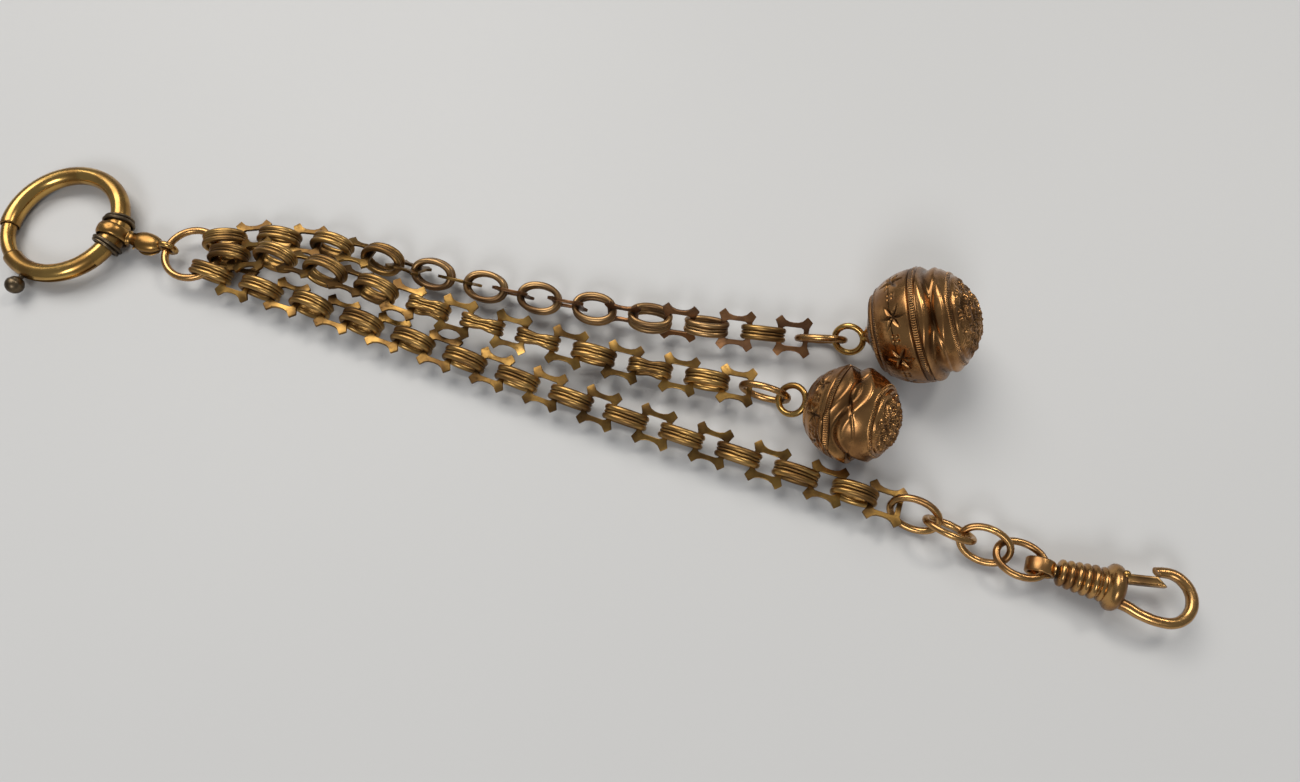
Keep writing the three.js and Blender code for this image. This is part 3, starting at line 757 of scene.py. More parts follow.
@dataclass
class BoltRing:
    """The sprung ring that closes on a buttonhole: tube, bolt, knob and collar. Millimetres and degrees."""

    hinges: Hinges
    ring: float = 7.95
    tube: float = 1.25
    bolt: float = 0.96
    mouths: Point = (180.0, 220.0)
    slot: Point = (238.0, 312.0)
    collar_angle: float = 345.0
    knob_angle: float = 244.0
    collar_half: float = 14.0
    sleeve: float = 1.64  # the collar's radius round the tube
    slot_depth: float = 0.2
    place: Matrix = field(init=False)

    def __post_init__(self) -> None:
        """Finds the ring's frame from its joints: X runs to the collar."""
        centre = self.hinges.at("bolt_slide")
        to_collar = self.hinges.at("shackle_turn") - centre
        normal = self.hinges.axis("bolt_slide")
        self.place = basis(centre, to_collar, normal.cross(to_collar))

    def own(self, angle: float) -> float:
        """An angle on the table as an angle in the ring's frame."""
        return angle - self.collar_angle

    def build(self) -> None:
        """Builds every piece of the clasp."""
        settle(self.tube_piece(), "bolt_ring", self.place, YELLOW, "bolt_ring", "bolt_ring_tube")
        settle(self.bolt_piece(), "sliding_bolt", self.place, YELLOW, "spring_bolt", "spring_bolt")
        settle(self.knob_piece(), "knob", self.place, PEWTER, "spring_bolt", "thumb_knob")
        settle(self.sleeve_piece(), "collar_sleeve", self.place, SHACKLE, "bolt_ring", "collar")
        settle(self.rims_piece(), "collar_rims", self.place, PEWTER, "bolt_ring")

    def tube_piece(self) -> bpy.types.Object:
        """The tube with turned-in mouths and the slot along its outer side.

        Returns:
            The tube.
        """
        start, end = self.own(self.mouths[1]), self.own(self.mouths[0]) + 360.0
        piece = arc_tube(self.ring, self.tube, start, end, 150)
        for angle, turn in ((start, 1.0), (end, -1.0)):
            self._mouth(piece, angle, turn)
        close_up(piece)
        centres = face_centres(piece) / MM
        angles = np.degrees(np.arctan2(centres[:, 1], centres[:, 0])) % 360
        reach = np.hypot(centres[:, 0], centres[:, 1])
        low, high = (self.own(a) % 360 for a in self.slot)
        chosen = (angles > low) & (angles < high) & (reach > self.ring + 0.965 * self.tube)
        with editing(piece):
            bpy.ops.mesh.select_mode(type="FACE")
            select_faces(piece, chosen)
            bpy.ops.mesh.extrude_region_shrink_fatten(
                TRANSFORM_OT_shrink_fatten={"value": -self.slot_depth * MM}
            )
        smooth(piece)
        return piece

    def _mouth(self, piece: bpy.types.Object, angle: float, turn: float) -> None:
        """Rolls one end of the tube over and a short way in.

        Args:
            piece: the tube.
            angle: the end's angle.
            turn: 1 where the tube goes on to larger angles, -1 where to smaller.
        """
        centre = Vector((math.cos(math.radians(angle)), math.sin(math.radians(angle)), 0)) * self.ring * MM
        places = vertices_of(piece)
        near = np.linalg.norm(places - np.array(centre), axis=1) < (self.tube + 0.01) * MM
        with editing(piece):
            bpy.ops.object.mode_set(mode="OBJECT")
            piece.data.vertices.foreach_set("select", near)
            bpy.ops.object.mode_set(mode="EDIT")
            outward = Vector((-math.sin(math.radians(angle)), math.cos(math.radians(angle)), 0)) * -turn * MM
            for shift, share in ((0.06, 0.97), (0.02, 0.91), (-0.08, 0.97), (-1.2, 1.0)):
                bpy.ops.mesh.extrude_edges_move(TRANSFORM_OT_translate={"value": outward * shift})
                bpy.ops.transform.resize(value=(share,) * 3, center_override=centre)

    def bolt_piece(self) -> bpy.types.Object:
        """The bolt: a thinner bent rod that bridges the two mouths."""
        start, end = self.own(self.mouths[0] - 4.0), self.own(self.mouths[1] + 8.0)
        return capped(arc_tube(self.ring, self.bolt, start, end, 40))

    def knob_piece(self) -> bpy.types.Object:
        """The ball knob with a turned waist below it, on its stem.

        Returns:
            The knob.
        """
        stem, ball = 0.32, 1.2
        centre = self.ring + self.tube + 0.25 + ball
        profile = [(self.ring + 1.0, 0.0), (self.ring + 1.0, stem), (centre - ball + 0.02, stem)]
        for step in range(1, 12):
            angle = math.pi * (1 - step / 12)
            groove = 0.05 if step == 4 else 0.0
            profile.append((centre + ball * math.cos(angle), ball * math.sin(angle) - groove))
        profile.append((centre + ball * 1.01, 0.0))
        piece = turned(rounded(profile, 3), 36)
        piece.data.transform(Matrix.Rotation(math.radians(self.own(self.knob_angle)), 4, "Z"))
        smooth(piece, 50)
        return piece

    def sleeve_piece(self) -> bpy.types.Object:
        """The collar's sleeve, closed down onto the tube at both ends."""
        return capped(arc_tube(self.ring, self.sleeve, -self.collar_half, self.collar_half, 16))

    def rims_piece(self) -> bpy.types.Object:
        """The collar's rims: at each end a thick turned ring with a fine one beside it.

        Returns:
            The rims as one piece.
        """
        rings = []
        for side in (-1.0, 1.0):
            for offset, wire, radius in ((-1.5, 0.26, 1.84), (1.8, 0.2, 1.74)):
                bpy.ops.mesh.primitive_torus_add(
                    major_radius=radius * MM, minor_radius=wire * MM, major_segments=56, minor_segments=14
                )
                ring = active()
                ring.data.transform(Matrix.Rotation(math.pi / 2, 4, "X"))
                ring.data.transform(Matrix.Translation((self.ring * MM, 0, 0)))
                turn = side * (self.collar_half + offset)
                ring.data.transform(Matrix.Rotation(math.radians(turn), 4, "Z"))
                rings.append(ring)
        piece = joined(rings)
        smooth(piece)
        return piece


@dataclass
class ShackleLink:
    """The shackle that hangs on the collar and carries the jump ring, and the jump ring. Millimetres."""

    hinges: Hinges
    band_radius: float = 2.0
    band_half: float = 0.88
    leaf_from: float = 2.1
    leaf_to: float = 6.9
    leaf_half: float = 1.55
    eye: float = 1.05
    eye_wire: float = 0.42
    ring: float = 3.7
    ring_wire: float = 0.5

    def build(self) -> None:
        """Builds the shackle and the jump ring."""
        start, end = self.hinges.at("shackle_turn"), self.hinges.at("jump_ring_turn")
        place = basis(start, end - start, self.hinges.axis("shackle_turn"))
        reach = (end - start).length / MM
        settle(self.shackle_piece(reach), "shackle_body", place, SHACKLE, "shackle", "shackle")
        low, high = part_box("jump_ring")
        middle = Matrix.Translation((low + high) / 2)
        settle(self.ring_piece(), "carrier_ring", middle, ROSY, "jump_ring", "jump_ring")

    def shackle_piece(self, reach: float) -> bpy.types.Object:
        """Band, leaf, under-plate and curled eye in one.

        Args:
            reach: from the middle of the band to the middle of the eye.

        Returns:
            The shackle.
        """
        bulge = []
        for angle in np.linspace(0, 2 * math.pi, 17):
            rise = math.sin(angle) * (1.0 if math.sin(angle) > 0 else 0.5)
            bulge.append((self.band_half * math.cos(angle), self.band_radius + 0.32 * rise))
        band = turned(bulge, 56)
        band.data.transform(Matrix.Rotation(math.pi / 2, 4, "Z"))
        length = self.leaf_to - self.leaf_from
        outline = [
            (0, 0), (0.0, 0.75), (0.1, 0.6), (0.2, 0.66), (0.38, 0.94),
            (0.58, 1.0), (0.8, 0.86), (0.94, 0.6), (1.0, 0.4), (1.0, 0),
        ]
        leaf = turned(rounded([(self.leaf_from + a * length, r) for a, r in outline], 4), 32)
        leaf.data.transform(Matrix.Diagonal((1, self.leaf_half * 0.93, 0.98, 1)))
        under = turned(rounded([(self.leaf_from + (0.15 + 0.8 * a) * length, r) for a, r in outline], 3), 24)
        flat = Matrix.Diagonal((1, self.leaf_half * 1.02, 0.22, 1))
        under.data.transform(Matrix.Translation((0, 0, -0.75 * MM)) @ flat)
        eye = oval(self.eye, self.eye, self.eye_wire)
        eye.data.transform(Matrix.Translation((reach * MM, 0, 0)) @ Matrix.Rotation(math.pi / 2, 4, "X"))
        piece = joined([band, leaf, under, eye])
        smooth(piece, 50)
        return piece

    def ring_piece(self) -> bpy.types.Object:
        """The jump ring.

        Returns:
            The ring.
        """
        piece = oval(self.ring, self.ring, self.ring_wire)
        smooth(piece)
        return piece


# ---- Strands ----


@dataclass
class LinkShapes:
    """The three shapes that the strands repeat, the loop's long way along X. Millimetres."""

    length: float = 6.0
    height: float = 4.3
    width: float = 1.96
    rib: float = 0.41
    hole: Point = (1.4, 1.25)
    thickness: float = 0.4
    outline: tuple[Point, ...] = (
        (0.0, 1.88), (0.6, 1.93), (1.15, 2.14), (1.45, 2.45), (1.72, 2.74), (2.1, 2.4),
        (2.47, 2.05), (2.27, 1.65), (2.08, 1.25), (2.05, 0.6), (2.05, 0.0),
    )

    def loop(self, waist: float = 0.0) -> bpy.types.Object:
        """A ribbed loop: a thin band with two bold outer ribs and a finer beaded rib between.

        Args:
            waist: how far its long sides are pressed in.

        Returns:
            The loop.
        """
        half_x, half_z = self.length / 2 - self.rib, self.height / 2 - self.rib
        rings = [oval(half_x, half_z, self.rib, side * (self.width / 2 - self.rib)) for side in (-1, 1)]
        rings.append(oval(half_x + 0.14, half_z + 0.14, 0.17))
        rings.append(oval(half_x - 0.1, half_z - 0.1, 0.08, 0.0, self.width / 2 - self.rib))
        piece = joined(rings)
        if waist:
            places = vertices_of(piece)
            share = np.exp(-((places[:, 0] / (1.15 * MM)) ** 2))
            places[:, 1] -= np.sign(places[:, 1]) * share * waist * MM
            places[:, 2] *= 1 - 0.5 * waist * share
            set_vertices(piece, places)
        piece.data.transform(Matrix.Rotation(math.pi / 2, 4, "X"))
        smooth(piece, 60)
        return piece

    def plate(self) -> bpy.types.Object:
        """A pierced plate with a waist and four pointed ears, its edges eased.

        Returns:
            The plate.
        """
        quarter = list(self.outline)
        half = quarter + [(x, -y) for x, y in reversed(quarter[:-1])]
        outer = half + [(-x, y) for x, y in reversed(half)][1:-1]
        count = len(outer)
        angles = [math.atan2(y / self.hole[1], x / self.hole[0]) for x, y in outer]
        inner = []
        for angle in angles:
            direction = Vector((math.cos(angle), math.sin(angle)))
            reach = 1.0 / (abs(direction.x) ** 8 + abs(direction.y) ** 8) ** (1 / 8)
            inner.append((self.hole[0] * direction.x * reach, self.hole[1] * direction.y * reach))
        bpy.ops.mesh.primitive_circle_add(vertices=count, radius=2 * MM)
        piece = active()
        set_vertices(piece, np.array([(x, y, 0) for x, y in outer]) * MM)
        bpy.ops.mesh.primitive_circle_add(vertices=count, radius=MM)
        hole = active()
        set_vertices(hole, np.array([(x, y, 0) for x, y in inner]) * MM)
        joined([piece, hole])
        with editing(piece):
            bpy.ops.mesh.select_all(action="SELECT")
            bpy.ops.mesh.bridge_edge_loops()
        apply_modifier(piece, "SOLIDIFY", thickness=self.thickness * MM, offset=0.0)
        close_up(piece)
        apply_modifier(
            piece, "BEVEL", width=0.07 * MM, segments=2, limit_method="ANGLE", angle_limit=math.radians(50)
        )
        smooth(piece, 20)
        return piece


@dataclass
class Strand:
    """One strand of ribbed loops and pierced plates. Millimetres."""

    hinges: Hinges
    shapes: dict[str, bpy.types.Object]
    letter: str
    count: int
    after: str  # the hinge at the far end
    waisted: frozenset[int] = frozenset()
    brown: frozenset[int] = frozenset()
    red: frozenset[int] = frozenset()
    near_bar: float = 3.9  # the plate's middle from the loop's
    reach: float = 5.625  # the next hinge from the loop's middle

    def build(self) -> None:
        """Builds every loop and plate of the strand."""
        names = [f"pair_{self.letter}{k + 1:02d}" for k in range(self.count)]
        stops = [f"{name}_hinge" for name in names] + [self.after]
        for k, name in enumerate(names):
            start, end = self.hinges.at(stops[k]), self.hinges.at(stops[k + 1])
            along = (end - start).normalized()
            across = self.hinges.axis(stops[k + 1])
            before = self.hinges.axis(stops[k])
            if before.dot(across) < 0:
                before = -before
            slant = across if k == 0 else (before + across).normalized()
            middle = end - along * self.reach * MM
            self._loop(k + 1, name, basis(middle, along, slant))
            self._plate(k + 1, name, basis(middle + along * self.near_bar * MM, along, across))

    def _loop(self, number: int, body: str, place: Matrix) -> None:
        """Sets one loop in its place.

        Args:
            number: which pair of the strand it is in, from 1.
            body: the CAD body that it rides on.
            place: where it goes.
        """
        shape = self.shapes["waisted" if number in self.waisted else "loop"]
        finish = BROWN_LINK if number in self.brown else LINK
        settle(copy_of(shape), f"loop_{self.letter}{number:02d}", place, finish, body, body)

    def _plate(self, number: int, body: str, place: Matrix) -> None:
        """Sets one plate in its place.

        Args:
            number: which pair of the strand it is in, from 1.
            body: the CAD body that it rides on.
            place: where it goes.
        """
        finish = RED_PLATE if number in self.red else PLATE
        settle(copy_of(self.shapes["plate"]), f"plate_{self.letter}{number:02d}", place, finish, body)


@dataclass
class WireLink:
    """A round-wire link between two hinges. Millimetres."""

    hinges: Hinges
    name: str
    after: str  # the hinge on its far end
    half_length: float = 3.025
    half_height: float = 2.175
    wire: float = 0.455

    def build(self) -> None:
        """Builds the link, with the slight thickening of its soldered side."""
        piece = oval(self.half_length, self.half_height, self.wire)
        places = vertices_of(piece)
        seam = np.exp(-(((places[:, 0] / (0.5 * MM)) ** 2))) * (places[:, 1] < 0)
        places[:, 2] *= 1 + 0.09 * seam
        set_vertices(piece, places)
        piece.data.transform(Matrix.Rotation(math.pi / 2, 4, "X"))
        smooth(piece)
        start, end = self.hinges.at(f"{self.name}_hinge"), self.hinges.at(self.after)
        along = (end - start).normalized()
        across = along.cross(self.hinges.axis(self.after))
        place = basis(end - along * self.half_length * MM, along, across)
        settle(piece, f"{self.name}_wire", place, ROSY, self.name, self.name)


# ---- Engraved balls ----


@dataclass
class EngravedBall:
    """A hollow ball, chased in bands from its eye to its leafy dome. Millimetres and degrees."""

    hinges: Hinges
    name: str
    radius: float
    split: float
    stars: int
    star_at: float
    star_size: float
    swirls: int
    swirl_at: float
    swirl_sway: float
    swirl_half: float
    rim_at: float
    dome_at: float
    turn: float = 0.0  # how the stars stand round the axis
    eye: float = 1.85
    eye_wire: float = 0.45
    sink: float = 0.3

    def build(self) -> None:
        """Builds the two shells and the eye."""
        low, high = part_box(f"{self.name}_dome_shell")
        centre = Vector((high.x - self.radius * MM, (low.y + high.y) / 2, self.radius * MM))
        start = self.hinges.at(f"{self.name}_swing")
        swing = self.hinges.axis(f"{self.name}_swing")
        place = basis(centre, centre - start, swing.cross(centre - start))
        ball = self.chased()
        rear = self.half_of(copy_of(ball), True)
        dome = self.half_of(ball, False)
        rear_name, dome_name = f"{self.name}_rear_shell", f"{self.name}_dome_shell"
        settle(rear, f"{self.name}_rear", place, BALL, self.name, rear_name)
        settle(dome, f"{self.name}_dome", place, BALL, self.name, dome_name)
        settle(self.eye_piece(), f"{self.name}_ring", place, YELLOW, self.name, f"{self.name}_eye")

    def chased(self) -> bpy.types.Object:
        """The whole ball with its bands, stars, swirls and leaves driven into the surface.

        Returns:
            The ball, with its knurl and patina attributes.
        """
        bpy.ops.mesh.primitive_uv_sphere_add(segments=384, ring_count=236, radius=self.radius * MM)
        piece = active()
        piece.data.transform(Matrix.Rotation(-math.pi / 2, 4, "Y"))
        places = vertices_of(piece) / (self.radius * MM)
        polar = np.degrees(np.arccos(np.clip(-places[:, 0], -1, 1)))
        around = np.degrees(np.arctan2(places[:, 2], places[:, 1])) + self.turn
        turned_steps, stars = self.bands(polar), self.star_band(polar, around)
        swirls, leaves = self.swirl_band(polar, around), self.leaves(places, polar)
        depth = turned_steps + stars + swirls + leaves
        set_vertices(piece, places * (self.radius + np.minimum(depth, 0.0))[:, None] * MM)
        patina = np.clip(-3.4 * stars, 0, 1) + np.clip(-1.3 * swirls - 0.1, 0, 0.8)
        patina += np.clip(-3.2 * leaves - 0.12, 0, 0.9)
        patina += np.clip(-2.4 * (turned_steps + 0.2), 0, 0.8) * (polar > 20)
        for name, values in (("knurl", self.knurled(polar)), ("patina", np.clip(patina, 0, 1))):
            layer = piece.data.attributes.new(name, "FLOAT", "POINT")
            layer.data.foreach_set("value", values.astype(np.float32))
        return piece

    def bands(self, polar: np.ndarray) -> np.ndarray:
        """Turned steps: the cap's rim, a groove beside it, and lines that edge the dome.

        Args:
            polar: angle from the eye of each vertex.

        Returns:
            Height of each vertex over the ball.
        """
        def ridge(at: float, half: float, height: float) -> np.ndarray:
            """A rounded ridge round the ball, or a groove where its height is below 0."""
            return height * np.exp(-(((polar - at) / half) ** 4))

        cap = -0.55 / (1 + np.exp((polar - self.rim_at + 7) / 1.2))
        depth = -0.16 + cap + ridge(self.rim_at - 4.0, 2.6, 0.1) + ridge(self.rim_at, 2.2, -0.26)
        depth += ridge(self.rim_at + 5.0, 1.8, 0.08)
        depth += ridge(self.star_at + 16.5, 0.8, -0.2) + ridge(self.star_at + 23.5, 0.8, -0.2)
        depth += ridge(self.dome_at, 2.0, 0.09) + ridge(self.dome_at + 4.0, 1.3, -0.14)
        stem = 0.32 / (1 + np.exp((polar - 11) / 0.9))
        return depth + stem

    def star_band(self, polar: np.ndarray, around: np.ndarray) -> np.ndarray:
        """Six-pointed stars cut between clusters of four dots.

        Args:
            polar: angle from the eye of each vertex.
            around: angle round the axis.

        Returns:
            Height of each vertex over the ball.
        """
        spacing = 360.0 / self.stars
        scale = math.radians(1) * self.radius
        off = (around + spacing / 2) % spacing - spacing / 2
        x = off * np.sin(np.radians(polar)) * scale
        y = (polar - self.star_at) * scale
        reach, angle = np.hypot(x, y), np.arctan2(y, x)
        petal = np.abs((angle / (math.pi / 3)) % 1 - 0.5) * 2
        edge = self.star_size * (0.36 + 0.64 * (1 - petal) ** 1.6)
        inside = np.clip(1 - reach / edge, 0, 1)
        depth = -0.42 * inside**0.55 * (0.45 + 0.55 * (1 - petal)) * (inside > 0)
        crease = np.exp(-((petal / 0.09) ** 2)) * inside
        depth += 0.1 * crease
        half = (around % spacing) - spacing / 2
        for dot_x, dot_y in ((-0.3, -0.3), (0.3, -0.3), (-0.3, 0.3), (0.3, 0.3)):
            u = half * np.sin(np.radians(polar)) * scale - dot_x
            v = y - dot_y
            depth -= 0.16 * np.exp(-((u**2 + v**2) / 0.2**2))
        return depth

    def swirl_band(self, polar: np.ndarray, around: np.ndarray) -> np.ndarray:
        """A deep channel that sways round the ball with a rounded ridge on each side.

        Args:
            polar: angle from the eye of each vertex.
            around: angle round the axis.

        Returns:
            Height of each vertex over the ball.
        """
        sway = self.swirl_sway * np.sin(np.radians(around * self.swirls))
        line = polar - self.swirl_at - sway
        half = self.swirl_half
        shoulder = (np.abs(line) - 1.8 * half) / (0.6 * half)
        depth = -0.54 * np.exp(-((line / half) ** 2)) + 0.16 * np.exp(-(shoulder**2))
        slant = polar - self.swirl_at - 1.3 * half + 0.6 * sway
        reach = np.clip(1 - np.abs(polar - self.swirl_at) / (3 * half), 0, 1)
        return depth - 0.3 * np.exp(-((slant / 1.5) ** 2)) * reach

    def leaves(self, places: np.ndarray, polar: np.ndarray) -> np.ndarray:
        """Scrolls and leaves in low relief over the dome.

        Args:
            places: unit places of the vertices.
            polar: angle from the eye.

        Returns:
            Height of each vertex over the ball.
        """
        dome = 1 / (1 + np.exp(-(polar - self.dome_at - 9.0) / 1.2))
        y, z = places[:, 1], places[:, 2]
        angle, reach = np.arctan2(z, y), np.hypot(y, z)
        scroll = np.sin(5 * angle + 14 * reach) * np.sin(26 * reach - 1.5 * np.sin(3 * angle))
        veins = np.sin(38 * y + 6 * np.sin(17 * z)) * np.sin(41 * z + 5 * np.sin(13 * y))
        return dome * (0.17 * scroll + 0.12 * veins - 0.14)

    def knurled(self, polar: np.ndarray) -> np.ndarray:
        """How deeply each vertex takes the fine notches of the knurling wheel.

        Args:
            polar: angle from the eye of each vertex.

        Returns:
            0 for a plain surface, 1 in a knurled band.
        """
        mask = np.zeros_like(polar)
        for at, half in (
            (self.rim_at - 4.0, 2.0),
            (self.rim_at + 5.0, 1.6),
            (self.star_at + 20.0, 2.0),
            (self.dome_at, 2.0),
        ):
            mask = np.maximum(mask, np.exp(-(((polar - at) / half) ** 6)))
        return mask

    def half_of(self, ball: bpy.types.Object, rear: bool) -> bpy.types.Object:
        """Cuts the ball at its seam and closes what is left.

        Args:
            ball: the whole ball.
            rear: True for the half with the eye.

        Returns:
            The shell.
        """
        with editing(ball):
            bpy.ops.mesh.select_all(action="SELECT")
            bpy.ops.mesh.bisect(
                plane_co=(self.split * MM, 0, 0), plane_no=(1, 0, 0), use_fill=True,
                clear_outer=rear, clear_inner=not rear,
            )
        smooth(ball, 60)
        return ball

    def eye_piece(self) -> bpy.types.Object:
        """The ring eye, its peg and the small collar where it meets the ball.

        Returns:
            The eye.
        """
        seat = -(self.radius - self.sink + self.eye + self.eye_wire)
        ring = oval(self.eye, self.eye, 0.93 * self.eye_wire)
        tilt = Matrix.Rotation(math.radians(20), 4, "X")
        ring.data.transform(Matrix.Translation((seat * MM, 0, 0)) @ tilt)
        start = seat + self.eye - 0.1
        outline = ((0, 0), (0, 0.5), (0.3, 0.62), (0.7, 0.95), (1.0, 1.1), (1.3, 0.7), (1.6, 0.0))
        profile = [(start + along, size) for along, size in outline]
        piece = joined([ring, turned(rounded(profile, 3), 32)])
        smooth(piece, 50)
        return piece


# ---- Swivel snap hook ----


@dataclass
class SwivelHook:
    """The swivel: strap eye, ribbed barrel with its collar, hook and sprung gate. Millimetres."""

    hinges: Hinges
    start: float = 1.3
    ribs: int = 5
    ribbed: float = 4.6
    collar: float = 3.0
    collar_radius: float = 2.85
    bow: float = 3.0
    wire: float = 0.68
    place: Matrix = field(init=False)

    def __post_init__(self) -> None:
        """Finds the swivel's frame: X along its axis, Z along the gate's pin."""
        along = self.hinges.axis("swivel_turn")
        origin = self.hinges.at("swivel_turn") - along * self.start * MM
        self.place = basis(origin, along, self.hinges.axis("gate_hinge").cross(along))
        self.end = self.start + self.ribbed + self.collar
        self.bow_at = (self.end + 4.7, 0.5)

    def build(self) -> None:
        """Builds every piece of the swivel."""
        settle(self.eye_piece(), "swivel_strap", self.place, ROSY, "swivel_eye", "swivel_eye")
        settle(self.barrel_piece(), "barrel", self.place, ROSY, "swivel_barrel", "swivel_barrel")
        settle(self.hook_piece(), "snap_hook", self.place, ROSY, "swivel_barrel", "hook")
        settle(self.pin_piece(), "rivet", self.place, YELLOW, "swivel_barrel", "gate_pin")
        settle(self.gate_piece(), "snap_gate", self.place, GATE, "gate", "gate")

    def eye_piece(self) -> bpy.types.Object:
        """The strap bent round the last link, with its neck.

        Returns:
            The strap eye.
        """
        strap = oval(1.55, 1.3, 0.2, 0.0, 0.72)
        strap.data.transform(Matrix.Translation((-0.7 * MM, 0, 0)) @ Matrix.Rotation(math.pi / 2, 4, "X"))
        outline = [(0.7, 0), (0.7, 0.75), (0.95, 0.95), (1.15, 0.7), (1.6, 0.6), (2.2, 0.6), (2.2, 0)]
        piece = joined([strap, turned(rounded(outline, 3), 24)])
        smooth(piece, 50)
        return piece

    def barrel_piece(self) -> bpy.types.Object:
        """The barrel: rounded ribs that widen to a bulbous collar with a fine bead before it.

        Returns:
            The barrel.
        """
        pitch = self.ribbed / self.ribs
        rib = ((0.06, 0.34), (0.2, 0.12), (0.36, 0.02), (0.5, 0.0), (0.64, 0.02), (0.8, 0.12), (0.94, 0.34))
        points: list[Point] = [(self.start, 0.72), (self.start, 1.15)]
        for i in range(self.ribs):
            crest = 1.66 + 0.42 * i / (self.ribs - 1)
            base = self.start + i * pitch
            points += [(base + share * pitch, crest - fall) for share, fall in rib]
        foot = self.start + self.ribbed
        dome = (
            (0.04, 0.6), (0.1, 0.7), (0.18, 0.74), (0.25, 0.7), (0.29, 0.72), (0.36, 0.86), (0.46, 0.97),
            (0.58, 1.0), (0.72, 0.97), (0.84, 0.88), (0.94, 0.72), (1.0, 0.5), (1.0, 0.0),
        )
        points += [(foot + share * self.collar, size * self.collar_radius) for share, size in dome]
        points += [(foot, 0.0), (self.start + 1.0, 0.72), (self.start, 0.72)]
        piece = turned(points, 64)
        smooth(piece, 45)
        return piece

    def hook_piece(self) -> bpy.types.Object:
        """The hook's tapered wire with the flat groove along its inner side.

        Returns:
            The hook.
        """
        root = -1.7
        points: list[Sequence[float]] = [(self.end - 1.1, root), (self.end + 0.1, root)]
        points.append((self.end + 0.5 * 4.7, self.bow_at[1] - 0.95 * self.bow))
        radii = [0.72, 0.72, 0.66]
        for step in range(9):
            angle = math.radians(-90 + step * 190 / 8)
            along, up = self.bow * math.cos(angle), self.bow * math.sin(angle)
            points.append((self.bow_at[0] + along, self.bow_at[1] + up))
            radii.append(self.wire + 0.05 * math.sin(math.pi * step / 8))
        tip = self.gate_tip() / MM
        points[-1] = (points[-1][0], points[-1][1] - 0.08)
        points.append((tip.x - 1.0, tip.y + 0.95))
        radii.append(self.wire)
        piece = wire_along(points, radii)
        places = vertices_of(piece)
        slant = np.array((0.707, 0.707, 0.0))
        height = (places / MM - np.array(tip)) @ slant
        low = (places[:, 0] < (tip.x + 0.9) * MM) & (places[:, 1] > 0) & (height < 0.1)
        places[low] += slant * ((0.1 - height[low]) * MM)[:, None]
        set_vertices(piece, places)
        places = vertices_of(piece)
        centre = np.array([self.bow_at[0], self.bow_at[1]]) * MM
        inner = np.hypot(places[:, 0] - centre[0], places[:, 1] - centre[1]) / MM
        groove = np.exp(-((places[:, 2] / (0.3 * MM)) ** 2))
        groove *= (inner < self.bow - 0.3) * (places[:, 0] > centre[0] - 4 * MM)
        outward = (places[:, :2] - centre) / (inner[:, None] * MM)
        places[:, :2] += outward * (0.16 * MM * groove)[:, None]
        set_vertices(piece, places)
        smooth(piece, 50)
        return piece

    def pin_piece(self) -> bpy.types.Object:
        """The rivet that the gate turns on, with low domed heads.

        Returns:
            The rivet.
        """
        half = 2.62
        head = ((-0.1, 0), (0, 0.3), (0.12, 0.42), (0.3, 0.42), (0.32, 0.33))
        profile = [(-half + along, size) for along, size in head]
        profile += [(-x, r) for x, r in reversed(profile)]
        piece = turned(profile, 24)
        piece.data.transform(Matrix.Translation(self.pin_at()) @ Matrix.Rotation(math.pi / 2, 4, "Y"))
        smooth(piece, 40)
        return piece

    def pin_at(self) -> Vector:
        """The gate pin's place in the swivel's frame."""
        return Vector((self.end - 0.55, 1.3, 0)) * MM

    def gate_tip(self) -> Vector:
        """The middle of the gate's free end in the swivel's frame."""
        up = self.bow_at[1] + self.bow - self.wire - 0.65
        return Vector((self.bow_at[0] - 0.45, up, 0)) * MM

    def gate_piece(self) -> bpy.types.Object:
        """The gate: a channel-shaped bar whose end is cut on a slant under the hook's tip.

        Returns:
            The gate.
        """
        pin, tip = self.pin_at(), self.gate_tip()
        length = (tip - pin).length
        tail = 0.75 * MM
        bpy.ops.mesh.primitive_cube_add(
            size=1, location=((length - tail) / 2, 0, 0), scale=(length + tail, 1.16 * MM, 1.05 * MM)
        )
        piece = active()
        bpy.ops.object.transform_apply(location=True, rotation=True, scale=True)
        places = vertices_of(piece)
        far_top = (places[:, 0] > 0) & (places[:, 1] > 0)
        places[places[:, 0] > 0, 0] += 0.4 * MM
        places[far_top, 0] -= 1.0 * MM
        set_vertices(piece, places)
        with editing(piece):
            bpy.ops.mesh.select_mode(type="FACE")
            select_faces(piece, face_centres(piece)[:, 2] > 0.4 * MM)
            bpy.ops.mesh.inset(thickness=0.22 * MM)
            bpy.ops.transform.translate(value=(0, 0, -0.22 * MM))
        apply_modifier(
            piece, "BEVEL", width=0.12 * MM, segments=3, limit_method="ANGLE", angle_limit=math.radians(35)
        )
        smooth(piece, 40)
        piece.data.transform(basis(pin, tip - pin, Vector((0, 0, 1)).cross(tip - pin)))
        return piece


# ---- Studio ----


